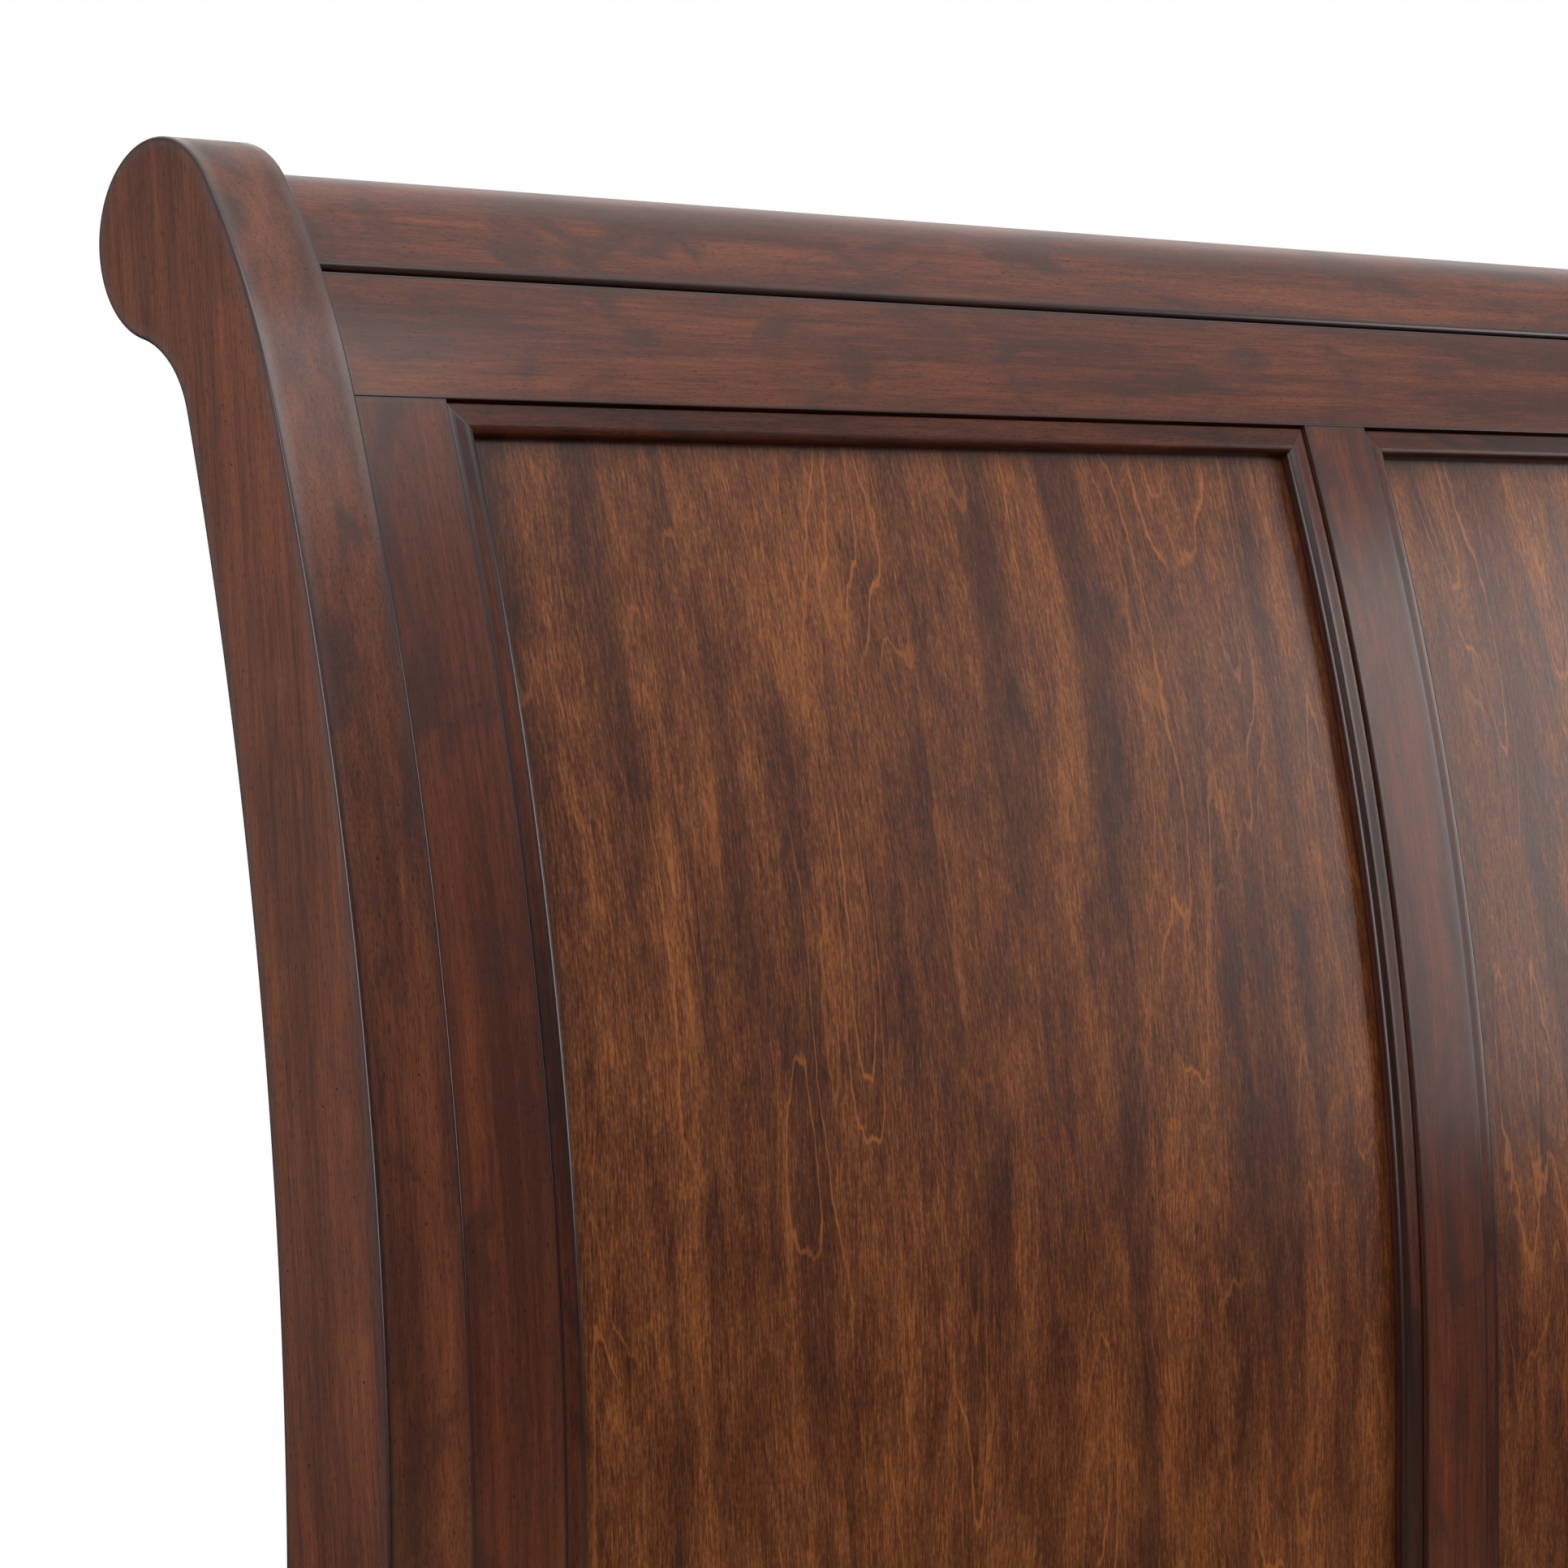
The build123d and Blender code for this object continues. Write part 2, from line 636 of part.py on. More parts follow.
# side rails, with hook plates let into their ends
for side, hand in ((-1, "left"), (1, "right")):
    with BuildPart() as side_rail:
        with BuildSketch(Plane((side * rail_middle_x, foot_y, rail_bottom + rail_height / 2),
                               x_dir=(1, 0, 0), z_dir=(0, 1, 0))):
            Rectangle(rail_thickness, rail_height)
        extrude(amount=inside_length)
        fillet(side_rail.edges().filter_by(Axis.Y), radius=rail_ease)
        for board in (headboard, footboard):
            board_side = side if board is headboard else -side
            with BuildSketch(board.face()):
                with Locations((board_side * rail_middle_x, plate_z)):
                    Rectangle(plate_width + 2 * fit, plate_height + 2 * fit)
            extrude(amount=plate_thickness, mode=Mode.SUBTRACT)
            for seat in plate_screw_seats(board, board_side, 1):
                add(countersunk_screw(plate_screw_length, fit).moved(seat.location), mode=Mode.SUBTRACT)
        for seat in ledger_screw_seats(side):
            add(countersunk_screw(ledger_screw_length, fit).moved(seat.location), mode=Mode.SUBTRACT)
    finish_piece(f"side_rail_{hand}", side_rail.part)

# steel plates: one with two hooks in each rail end, one with two slots in each post
corners = [(board, side) for board in (headboard, footboard) for side in (-1, 1)]
with BuildPart() as hook_plates:
    for board, side in corners:
        with BuildSketch(board.face()):
            with Locations((side * rail_middle_x, plate_z)):
                Rectangle(plate_width, plate_height)
        extrude(amount=plate_thickness)
        necks = [(side * rail_middle_x, z - slot_height / 2 + neck_height / 2) for z in slot_heights]
        with BuildSketch(board.face()):
            with Locations(*necks):
                Rectangle(hook_thickness, neck_height)
        extrude(amount=-(plate_thickness + hook_play + lip_thickness))
        with BuildSketch(board.face(plate_thickness + hook_play)):
            with Locations(*[(x, z - lip_drop / 2) for x, z in necks]):
                Rectangle(hook_thickness, neck_height + lip_drop)
        extrude(amount=-lip_thickness)
        for seat in plate_screw_seats(board, side, 1):
            add(countersunk_screw(plate_screw_length, fit).moved(seat.location), mode=Mode.SUBTRACT)
finish_piece("rail_hook_plates", hook_plates.part)

with BuildPart() as slot_plates:
    for board, side in corners:
        with BuildSketch(board.face()):
            with Locations((side * rail_middle_x, plate_z)):
                Rectangle(plate_width, plate_height)
            with Locations(*[(side * rail_middle_x, z) for z in slot_heights]):
                Rectangle(slot_width, slot_height, mode=Mode.SUBTRACT)
        extrude(amount=-plate_thickness)
        for seat in plate_screw_seats(board, side, -1):
            add(countersunk_screw(plate_screw_length, fit).moved(seat.location), mode=Mode.SUBTRACT)
finish_piece("post_slot_plates", slot_plates.part)

with BuildPart() as plate_screws:
    for board, side in corners:
        for seat in plate_screw_seats(board, side, -1) + plate_screw_seats(board, side, 1):
            add(countersunk_screw(plate_screw_length).moved(seat.location))
finish_piece("plate_screws", plate_screws.part)

# ledgers under the slats' ends, screwed to the rails
ledger_length = inside_length - 2 * ledger_end_gap
slat_length = 2 * (rail_inner_x - slat_play)
slat_first = foot_y + slat_margin + slat_width / 2
slat_pitch = (inside_length - 2 * slat_margin - slat_width) / (slat_count - 1)
slat_rows = [slat_first + slat_pitch * number for number in range(slat_count)]
for side, hand in ((-1, "left"), (1, "right")):
    ledger_middle_x = side * (rail_inner_x - ledger_thickness / 2)
    with BuildPart() as ledger:
        with BuildSketch(Plane((ledger_middle_x, foot_y + ledger_end_gap, ledger_middle_z),
                               x_dir=(1, 0, 0), z_dir=(0, 1, 0))):
            Rectangle(ledger_thickness, ledger_height)
        extrude(amount=ledger_length)
        for seat in ledger_screw_seats(side):
            add(countersunk_screw(ledger_screw_length, fit).moved(seat.location), mode=Mode.SUBTRACT)
        for y in slat_rows:
            seat = slat_screw_seat(side, y)
            add(countersunk_screw(slat_screw_length, fit).moved(seat.location), mode=Mode.SUBTRACT)
    finish_piece(f"ledger_{hand}", ledger.part)

with BuildPart() as ledger_screw_set:
    for side in (-1, 1):
        for seat in ledger_screw_seats(side):
            add(countersunk_screw(ledger_screw_length).moved(seat.location))
finish_piece("ledger_screws", ledger_screw_set.part)

# slats, and the screws that hold their ends down
for number, y in enumerate(slat_rows, start=1):
    with BuildPart() as slat:
        with BuildSketch(Plane((-slat_length / 2, y, ledger_top + slat_thickness / 2), x_dir=(0, 1, 0),
                               z_dir=(1, 0, 0))):
            Rectangle(slat_width, slat_thickness)
        extrude(amount=slat_length)
        fillet(slat.edges().filter_by(Axis.X), radius=slat_ease)
        for side in (-1, 1):
            seat = slat_screw_seat(side, y)
            add(countersunk_screw(slat_screw_length, fit).moved(seat.location), mode=Mode.SUBTRACT)
    finish_piece(f"slat_{number:02d}", slat.part)

with BuildPart() as slat_screws:
    for side in (-1, 1):
        for y in slat_rows:
            add(countersunk_screw(slat_screw_length).moved(slat_screw_seat(side, y).location))
finish_piece("slat_screws", slat_screws.part)

# centre beam in a steel cup at each end
beam_bottom = ledger_top - beam_height
beam_gap = bracket_thickness - set_back + cup_play
leg_rows = [middle_y + leg_spacing * (number - (leg_count - 1) / 2) for number in range(leg_count)]
with BuildPart() as beam:
    with BuildSketch(Plane((0, foot_y + beam_gap, beam_bottom + beam_height / 2), x_dir=(1, 0, 0),
                           z_dir=(0, 1, 0))):
        Rectangle(beam_width, beam_height)
    extrude(amount=inside_length - 2 * beam_gap)
    fillet(beam.edges().filter_by(Axis.Y), radius=beam_ease)
    with BuildSketch(Plane.XY.offset(beam_bottom)):
        with Locations(*[(0, y) for y in leg_rows]):
            Circle(stud_radius + fit)
    extrude(amount=stud_length / 2 + end_slack, mode=Mode.SUBTRACT)
finish_piece("centre_beam", beam.part)

for board, end in ((headboard, "head"), (footboard, "foot")):
    back_plane = board.face(set_back)
    cup_width = beam_width + 2 * (cup_play + bracket_thickness)
    with BuildPart() as bracket:
        with BuildSketch(back_plane):
            with Locations((0, beam_bottom - bracket_thickness + (beam_height + bracket_thickness) / 2)):
                Rectangle(bracket_width, beam_height + bracket_thickness)
        extrude(amount=bracket_thickness)
        with BuildSketch(back_plane.offset(bracket_thickness)):
            with Locations((0, beam_bottom - bracket_thickness + cup_height / 2)):
                Rectangle(cup_width, cup_height)
            with Locations((0, beam_bottom + cup_height / 2)):
                Rectangle(beam_width + 2 * cup_play, cup_height, mode=Mode.SUBTRACT)
        extrude(amount=cup_depth)
        for seat in bracket_screw_seats(board):
            add(countersunk_screw(bracket_screw_length, fit).moved(seat.location), mode=Mode.SUBTRACT)
    finish_piece(f"beam_bracket_{end}", bracket.part)

with BuildPart() as bracket_screws:
    for board in (headboard, footboard):
        for seat in bracket_screw_seats(board):
            add(countersunk_screw(bracket_screw_length).moved(seat.location))
finish_piece("bracket_screws", bracket_screws.part)

# support legs: a stud into the beam above, a threaded insert below for the levelling foot
stem_top = foot_pad_height + foot_collar_height + foot_stem_length
for number, y in enumerate(leg_rows, start=1):
    with BuildPart() as leg:
        with BuildSketch(Plane((0, y, leg_bottom))):
            Rectangle(leg_size, leg_size)
        extrude(amount=beam_bottom - leg_bottom)
        fillet(leg.edges().filter_by(Axis.Z), radius=leg_ease)
        with BuildSketch(Plane((0, y, beam_bottom))):
            Circle(stud_radius + fit)
        extrude(amount=-stud_length / 2 - end_slack, mode=Mode.SUBTRACT)
        with BuildSketch(Plane((0, y, leg_bottom))):
            Circle(insert_radius + fit)
        extrude(amount=insert_length, mode=Mode.SUBTRACT)
        with BuildSketch(Plane((0, y, leg_bottom))):
            Circle(foot_stem_radius + foot_play)
        extrude(amount=stem_top + foot_rise - leg_bottom, mode=Mode.SUBTRACT)
    finish_piece(f"support_leg_{number}", leg.part)

    with BuildPart() as levelling_foot:
        with BuildSketch(Plane((0, y, 0), x_dir=(1, 0, 0), z_dir=(0, -1, 0))):
            with BuildLine():
                Polyline(
                    (0, 0),
                    (foot_pad_radius - foot_pad_bevel, 0),
                    (foot_pad_radius, foot_pad_bevel),
                    (foot_pad_radius, foot_pad_height - foot_pad_bevel),
                    (foot_pad_radius - foot_pad_bevel, foot_pad_height),
                    (foot_collar_radius, foot_pad_height),
                    (foot_collar_radius, foot_pad_height + foot_collar_height),
                    (foot_stem_radius, foot_pad_height + foot_collar_height),
                    (foot_stem_radius, stem_top - foot_stem_bevel),
                    (foot_stem_radius - foot_stem_bevel, stem_top),
                    (0, stem_top),
                    close=True,
                )
            make_face()
        revolve(axis=Axis((0, y, 0), (0, 0, 1)))
    finish_piece(f"levelling_foot_{number}", levelling_foot.part)

with BuildPart() as inserts:
    for y in leg_rows:
        with BuildSketch(Plane((0, y, leg_bottom))):
            Circle(insert_radius)
            Circle(foot_stem_radius + foot_play, mode=Mode.SUBTRACT)
        extrude(amount=insert_length)
finish_piece("leg_inserts", inserts.part)

with BuildPart() as studs:
    for y in leg_rows:
        with BuildSketch(Plane((0, y, beam_bottom))):
            Circle(stud_radius)
        extrude(amount=stud_length / 2, both=True)
finish_piece("leg_studs", studs.part)
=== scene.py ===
"""Looks for a queen sleigh bed: stained hardwood ends, veneered panels, a pine deck, hardware.

Sizes in this file are millimetres in the CAD frame, and go into the meshes as metres. A wooden
piece is an outline carried along a line with eased ends. Every vertex keeps its place in the board
that it was cut from, in "grain" (across, thickness, along the fibres), and its distance from the
nearest arris, in "arris".
"""

import math

import bpy
import numpy as np
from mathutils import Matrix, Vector


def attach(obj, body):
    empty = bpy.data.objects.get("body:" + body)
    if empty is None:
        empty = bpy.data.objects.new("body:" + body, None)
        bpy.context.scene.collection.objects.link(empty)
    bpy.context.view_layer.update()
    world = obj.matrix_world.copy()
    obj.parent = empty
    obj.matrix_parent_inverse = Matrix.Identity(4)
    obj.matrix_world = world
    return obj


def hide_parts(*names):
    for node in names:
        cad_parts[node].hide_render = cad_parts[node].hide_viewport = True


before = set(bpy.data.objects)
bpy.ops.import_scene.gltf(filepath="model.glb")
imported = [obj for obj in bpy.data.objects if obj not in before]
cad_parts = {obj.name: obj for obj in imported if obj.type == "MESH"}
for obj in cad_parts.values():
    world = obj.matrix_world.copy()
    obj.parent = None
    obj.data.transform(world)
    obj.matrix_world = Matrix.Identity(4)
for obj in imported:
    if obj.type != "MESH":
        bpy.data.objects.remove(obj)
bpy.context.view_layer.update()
scene = bpy.context.scene
MM_PER_M = 1000

# ---- sizes shared with the CAD
post_width, post_depth, stile_width, opening_width, mullion_width = 54.5, 88.5, 62, 706, 60
half_width = post_width + stile_width + opening_width + mullion_width / 2
inner_x = half_width - post_width
glide_thickness = 5
set_back, frame_thickness = 2, 28
moulding_sink, panel_sink, panel_thickness = 2.25, 11.5, 6.5
groove_depth, groove_play, tuck = 10, 0.15, 9
moulding_width, moulding_gap = 17, 1
lower_rail_bottom, lower_rail_top, frieze_height = 250, 420, 74
rail_middle_x, rail_thickness, rail_bottom, rail_height = 814, 28, 230, 200

# ---- sizes of the eased edges and the drawing of curves
post_ease, crest_ease, frieze_ease, frame_ease, side_rail_ease = 1.6, 3.5, 1.5, 0.6, 3
lower_rail_ease, groove_lip, groove_corner, panel_ease, tuck_ease = 1.5, 0.3, 0.2, 0.3, 0.4
moulding_nose, moulding_back, moulding_foot = 4.8, 1.6, 0.2
crest_end, rail_end, upright_end = 0.3, 0.2, 0.25     # eases round the ends of each length
panel_end, strip_end, side_rail_end = 0.2, 0.15, 0.4
shadow_gap, shadow_depth = 1.8, 6     # rebate under the crest roll's face
tuck_play, strip_lift = 0.15, 0.1     # crest roll off the frieze's back, moulding off its panel
shy = 0.05                            # a piece ends this far short of the piece it meets
less_rubbed = 3.0                     # added to the arris distance of the strips across an end
plank_lean = math.radians(6)          # of the fibres in a post
rows_start, rows_grow = 15, 60        # height of a post's side rows, and to their full step in
CURVE_STEP, NECK_STEP, FINE_STEP = 5, 4, 2.5      # between points: curved face, neck, scroll
PLUMB_STEP, FRIEZE_STEP, LOWER_RAIL_STEP = 30, 6, 12      # between points on straight sides
LONG_STEP, UPRIGHT_STEP = 60, 8       # between rings of a straight bar, and of one that is bent
ROUND_STEPS, NOSE_STEPS = 5, 9        # faces round an eased edge, and round a moulding's nose
LIP_STEPS, TUCK_STEPS = 8, 3          # faces round the crest roll's lower edges, front and back
HOLDS = np.array([2, 5, 9, 14, 20])   # rows of points this far in from an arris
PANEL_HOLDS = np.array([9, 14, 20, 29, 42, 60])
ARRIS_REACH = 20                      # past this, a place counts as clear of every arris


class EndBoard:
    """The curve of one end: plumb, a long sweep back, a tighter neck, then a scroll."""

    def __init__(self, name, facing, stands_at, height, sweep_radius, neck_radius,
                 scroll_radius, roll_radius, cove_radius, sweep_turn, neck_turn, roll_turn,
                 outer_radius, outer_drop):
        self.name, self.facing, self.stands_at = name, facing, stands_at
        self.sweep_radius, self.neck_radius = sweep_radius, neck_radius
        self.scroll_radius, self.roll_radius = scroll_radius, roll_radius
        self.cove_radius, self.outer_radius = cove_radius, outer_radius
        self.sweep_turn, self.neck_turn, self.roll_turn = np.radians(
            (sweep_turn, neck_turn, roll_turn))
        rise = sweep_radius * math.sin(self.sweep_turn)
        rise += neck_radius * (math.sin(self.neck_turn) - math.sin(self.sweep_turn))
        rise += scroll_radius * (1 - math.sin(self.neck_turn))
        self.plumb = height - rise
        self.sweep_end = self.plumb + sweep_radius * self.sweep_turn
        self.sweep_centre = np.array((sweep_radius, self.plumb))
        self.neck_centre = self.sweep_centre + away(
            math.pi - self.sweep_turn, sweep_radius - neck_radius)
        self.scroll_centre = self.neck_centre + away(
            math.pi - self.neck_turn, neck_radius - scroll_radius)
        self.roll_centre = self.neck_centre + away(
            math.pi - self.roll_turn, neck_radius - set_back - roll_radius)
        self.outer_centre = np.array((post_depth + outer_radius, self.plumb - outer_drop))
        self.cove_centre = lower_crossing(self.outer_centre, outer_radius - cove_radius,
                                          self.scroll_centre, scroll_radius + cove_radius)
        self.frieze_bottom, self.frieze_top = self.sweep_end, self.sweep_end + frieze_height

    def point(self, depth, run):
        """The (y, z) and lean of a depth behind the face and a run up it.

        Up to the plumb height y is the depth and z the run. Above it the place lies on a circle
        round the sweep's centre, and above the sweep round the neck's: the radius less the depth,
        at half a turn less the lean.
        """
        depth, run = np.broadcast_arrays(np.asarray(depth, float), np.asarray(run, float))
        sweep_lean = np.clip((run - self.plumb) / self.sweep_radius, 0, self.sweep_turn)
        lean = sweep_lean + np.clip(run - self.sweep_end, 0, None) / self.neck_radius
        swept = run <= self.sweep_end
        radius = np.where(swept, self.sweep_radius, self.neck_radius) - depth
        centre_y = np.where(swept, self.sweep_centre[0], self.neck_centre[0])
        centre_z = np.where(swept, self.sweep_centre[1], self.neck_centre[1])
        plumb_part = run <= self.plumb
        y = np.where(plumb_part, depth, centre_y - radius * np.cos(lean))
        z = np.where(plumb_part, run, centre_z + radius * np.sin(lean))
        return y, z, lean

    def below(self, sink):
        """The depth of a layer this far under the panelled side's face."""
        return set_back + (frame_thickness - sink if self.facing < 0 else sink)

    def turned(self, across, outwards, up):
        """The board's own axes turned to the bed's, as rows of three."""
        return np.stack((self.facing * across, self.facing * outwards, up + 0 * across), axis=-1)

    def placed(self, across, outwards, up):
        """A place of the board's own frame, in the bed's."""
        return self.turned(across, outwards, up) + (0, self.stands_at, 0)


def away(angle, length):
    """A step of a length at an angle from the first axis."""
    return np.stack((length * np.cos(angle), length * np.sin(angle)), axis=-1)


def lower_crossing(first, first_radius, second, second_radius):
    """The lower of two circles' crossings: along the line of centres, then square to it."""
    apart = second - first
    distance = np.hypot(*apart)
    along = (distance**2 + first_radius**2 - second_radius**2) / (2 * distance)
    aside = math.sqrt(first_radius**2 - along**2)
    across = np.array((-apart[1], apart[0]))
    crossings = [first + (along * apart + side * aside * across) / distance for side in (-1, 1)]
    return min(crossings, key=lambda crossing: crossing[1])


class Outline:
    """A closed outline in the making: its points, outward normals and distances from an arris."""

    def __init__(self):
        self.points, self.normals, self.arris = [], [], []

    def put(self, points, normals, arris=ARRIS_REACH):
        """Adds points with a normal and an arris distance each, or one for all of them."""
        self.points.append(points)
        self.normals.append(np.broadcast_to(normals, points.shape))
        self.arris.append(np.broadcast_to(arris, len(points)).astype(float))

    def straight(self, start, end, normal, spacing=math.inf, ease_ends=False, rows=()):
        """Points along a line: its ends, the rows set in from each end, and one every spacing."""
        start, end = np.asarray(start, float), np.asarray(end, float)
        length = np.hypot(*(end - start))
        inner = [row for row in rows if row < length / 2]
        stops = np.linspace(0, length, max(2, math.ceil(length / spacing) + 1))
        stops = np.unique(np.round(np.concatenate((stops, inner, length - np.array(inner))), 4))
        places = start + (end - start) * (stops / length)[:, None]
        near = np.minimum(stops, length - stops) if ease_ends else np.full(len(stops), ARRIS_REACH)
        self.put(places, np.asarray(normal, float), near)

    def arc(self, centre, radius, start, end, outward=1, spacing=CURVE_STEP, steps=0):
        """Points of a circle between two angles: the centre plus the radius at each angle."""
        steps = steps or max(2, math.ceil(abs(end - start) * radius / spacing))
        angles = np.linspace(start, end, steps + 1)
        self.put(np.asarray(centre) + away(angles, radius), outward * away(angles, 1.0))

    def closed(self):
        """Points, normals and arris distances as arrays, each doubled point dropped, and room to
        step inwards at every point: 1."""
        points, normals = np.concatenate(self.points), np.concatenate(self.normals)
        arris = np.concatenate(self.arris)
        keep = np.hypot(*(points - np.roll(points, 1, axis=0)).T) > 1e-4
        return points[keep], normals[keep], arris[keep], np.ones(keep.sum())


def eased(corners, eases, spacing=math.inf, rows=HOLDS, steps=ROUND_STEPS):
    """A counter-clockwise polygon with rounded corners.

    At a corner where the outline turns by t, with an ease of e, the arc starts e times tan(t/2)
    before the corner. Its centre lies e inwards of the arc's start on an outer corner, and e
    outwards on an inner one.
    """
    corners = np.asarray(corners, float)
    sides = np.roll(corners, -1, axis=0) - corners
    directions = sides / np.hypot(*sides.T)[:, None]
    before = np.roll(directions, 1, axis=0)
    turns = np.arctan2(before[:, 0] * directions[:, 1] - before[:, 1] * directions[:, 0],
                       (before * directions).sum(1))
    setbacks = np.asarray(eases) * np.tan(np.abs(turns) / 2)
    outline = Outline()
    for number, corner in enumerate(corners):
        following = (number + 1) % len(corners)
        side = math.copysign(1, turns[number])
        entry = np.array((before[number][1], -before[number][0]))
        centre = corner - before[number] * setbacks[number] - side * eases[number] * entry
        first = math.atan2(entry[1], entry[0])
        angles = np.linspace(first, first + turns[number], steps + 1)
        outline.put(centre + side * away(angles, eases[number]), away(angles, 1.0), 0)
        outline.straight(
            corner + directions[number] * setbacks[number],
            corners[following] - directions[number] * setbacks[following],
            (directions[number][1], -directions[number][0]), spacing, True, rows)
    return outline.closed()


def carried(outline, low, high, ease, spacing=math.inf, rows=HOLDS, inner_rings=()):
    """A solid: the outline carried from low to high, with a quarter round of the ease at each end.

    Round an end, at an angle a from the side, the outline steps in by e times (1 - cos a) and the
    line is at the end less e times (1 - sin a). The normal turns with a from the outline's to the
    line's.
    Returns places (first, second, along), normals, arris distances and faces.
    """
    points, normals, near, room = outline
    length = high - low
    turn = np.linspace(90, 0, ROUND_STEPS + 1)
    inner = np.array([row for row in rows if row + ease < length / 2])
    middle = np.linspace(low + ease, high - ease, max(2, math.ceil(length / spacing) + 1))[1:-1]
    stops = np.concatenate((middle, low + ease + inner, high - ease - inner))
    stops = np.unique(np.round(stops, 4))
    rings = np.array(inner_rings, float)[::-1]
    lift = np.concatenate((np.full(len(rings), 90.0), turn))
    deep = np.concatenate((rings, np.zeros(len(turn))))
    angle = np.radians(np.concatenate((-lift, np.zeros(len(stops)), lift[::-1])))
    deep = np.concatenate((deep, np.zeros(len(stops)), deep[::-1]))
    along = low + ease * (1 - np.sin(np.radians(lift)))
    along = np.concatenate((along, stops, (low + high - along)[::-1]))
    step_in = ease * (1 - np.cos(angle))
    inward = step_in[:, None] + deep[:, None] * room[None]
    places = np.empty((len(along), len(points), 3))
    places[..., :2] = points[None] - inward[..., None] * normals[None]
    places[..., 2] = along[:, None]
    facing = np.empty_like(places)
    facing[..., :2] = np.cos(angle)[:, None, None] * normals[None]
    facing[..., 2] = np.sin(angle)[:, None]
    from_end = np.clip(np.minimum(along - low, high - along) - ease, 0, None)
    on_end = deep[:, None] * room[None]
    arris = np.where(np.abs(angle)[:, None] > 0.01, on_end,
                     np.minimum(near[None], from_end[:, None]))
    count, rim = len(along), len(points)
    ring, place = np.meshgrid(np.arange(count - 1), np.arange(rim), indexing="ij")
    following = (place + 1) % rim
    quads = np.stack((ring * rim + place, ring * rim + following,
                      (ring + 1) * rim + following, (ring + 1) * rim + place), axis=-1)
    caps = [np.arange(rim)[::-1], (count - 1) * rim + np.arange(rim)]
    return (places.reshape(-1, 3), facing.reshape(-1, 3), np.clip(arris, 0, ARRIS_REACH).ravel(),
            [*quads.reshape(-1, 4).tolist(), *(cap.tolist() for cap in caps)])


def up_board(board, solid):
    """A solid drawn as (across, depth, run), bent up the board's curve."""
    (across, depth, run), (nx, nd, nr) = solid[0].T, solid[1].T
    y, z, lean = board.point(depth, run)
    normals = board.turned(nx, nd * np.cos(lean) + nr * np.sin(lean),
                           nr * np.cos(lean) - nd * np.sin(lean))
    return board.placed(across, y, z), normals, solid[2], solid[3]


def across_board(board, solid):
    """A solid drawn as (depth, run, across), bent up the board's curve."""
    order = (2, 0, 1)
    return up_board(board, (solid[0][:, order], solid[1][:, order], solid[2], solid[3]))


def beside_board(board, solid):
    """A solid drawn as (y, z, across) in the board's own frame, stood in the bed's."""
    (y, z, across), (ny, nz, nx) = solid[0].T, solid[1].T
    return board.placed(across, y, z), board.turned(nx, ny, nz), solid[2], solid[3]


def mitred(solid, outer, length, inward):
    """A straight strip drawn as (in from its outer edge, height, along), its ends mitred.

    A place at a share t of the length moves to its distance in plus t times the length less twice
    that distance. Normals follow by the inverse of that stretch.
    """
    (inset, height, along), (n_in, n_height, n_along) = solid[0].T, solid[1].T
    share = along / length
    moved = inset + share * (length - 2 * inset)
    n_moved = n_along * length / (length - 2 * inset)
    normals = np.stack((n_in - (1 - 2 * share) * n_moved, n_height, n_moved), axis=-1)
    normals /= np.linalg.norm(normals, axis=1)[:, None]
    places = np.stack((outer + inward * inset, height, moved), axis=-1)
    normals[:, 0] *= inward
    return places, normals, solid[2], solid[3]


OFFSET = np.array((137.0, 61.0, 911.0))       # so that no two boards share a stretch of pattern
boards_cut = 0


def board_from(grain):
    """Places in the board that a piece is sawn from, moved to wood that no other piece uses."""
    global boards_cut
    boards_cut += 1
    return np.asarray(grain) + OFFSET * boards_cut


def make_piece(name, solids, material, replaced):
    """One object of the bed's frame from solids of (places, normals, arris, faces, grain).

    A solid's volume is a sixth of the sum of a . (b x c) over its triangles. Where it comes out
    negative, the faces are turned round.
    """
    places, normals, arris, faces, grain = [], [], [], [], []
    start = 0
    for solid_places, solid_normals, solid_arris, solid_faces, solid_grain in solids:
        quads = [face for face in solid_faces if len(face) == 4]
        a, b, c, d = solid_places[np.array(quads)].transpose(1, 0, 2)
        volume = (np.cross(a, b) * c).sum() + (np.cross(a, c) * d).sum()
        for end in (face for face in solid_faces if len(face) != 4):
            fan = solid_places[end]
            volume += (np.cross(fan[0][None], fan[1:-1]) * fan[2:]).sum()
        turn = -1 if volume < 0 else 1
        faces += [[start + corner for corner in face[::turn]] for face in solid_faces]
        places.append(solid_places)
        normals.append(solid_normals)
        arris.append(solid_arris)
        grain.append(solid_grain)
        start += len(solid_places)
    mesh = bpy.data.meshes.new(name)
    mesh.from_pydata((np.concatenate(places) / MM_PER_M).tolist(), [], faces)
    mesh.shade_smooth()
    mesh.normals_split_custom_set_from_vertices(np.concatenate(normals).tolist())
    mesh.attributes.new("grain", "FLOAT_VECTOR", "POINT").data.foreach_set(
        "vector", np.concatenate(grain).astype(np.float32).ravel())
    mesh.attributes.new("arris", "FLOAT", "POINT").data.foreach_set(
        "value", np.concatenate(arris).astype(np.float32))
    mesh.materials.append(material)
    piece = bpy.data.objects.new(name, mesh)
    scene.collection.objects.link(piece)
    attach(piece, "bed_frame")
    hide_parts(replaced)


# ---- materials
FROM_LOW, FROM_HIGH, TO_LOW, TO_HIGH = 1, 2, 3, 4     # a map range's inputs, after its value
FIRST, SECOND, MIXED = 6, 7, 2                        # a colour mix's inputs, and its output
ARRIS_GLAZE_AND_SHADE, MOULDING_GLAZE_AND_SHADE, STEEPED, FLAME_LINE = "1c1112", "331a14", "361a12", "b36c34"


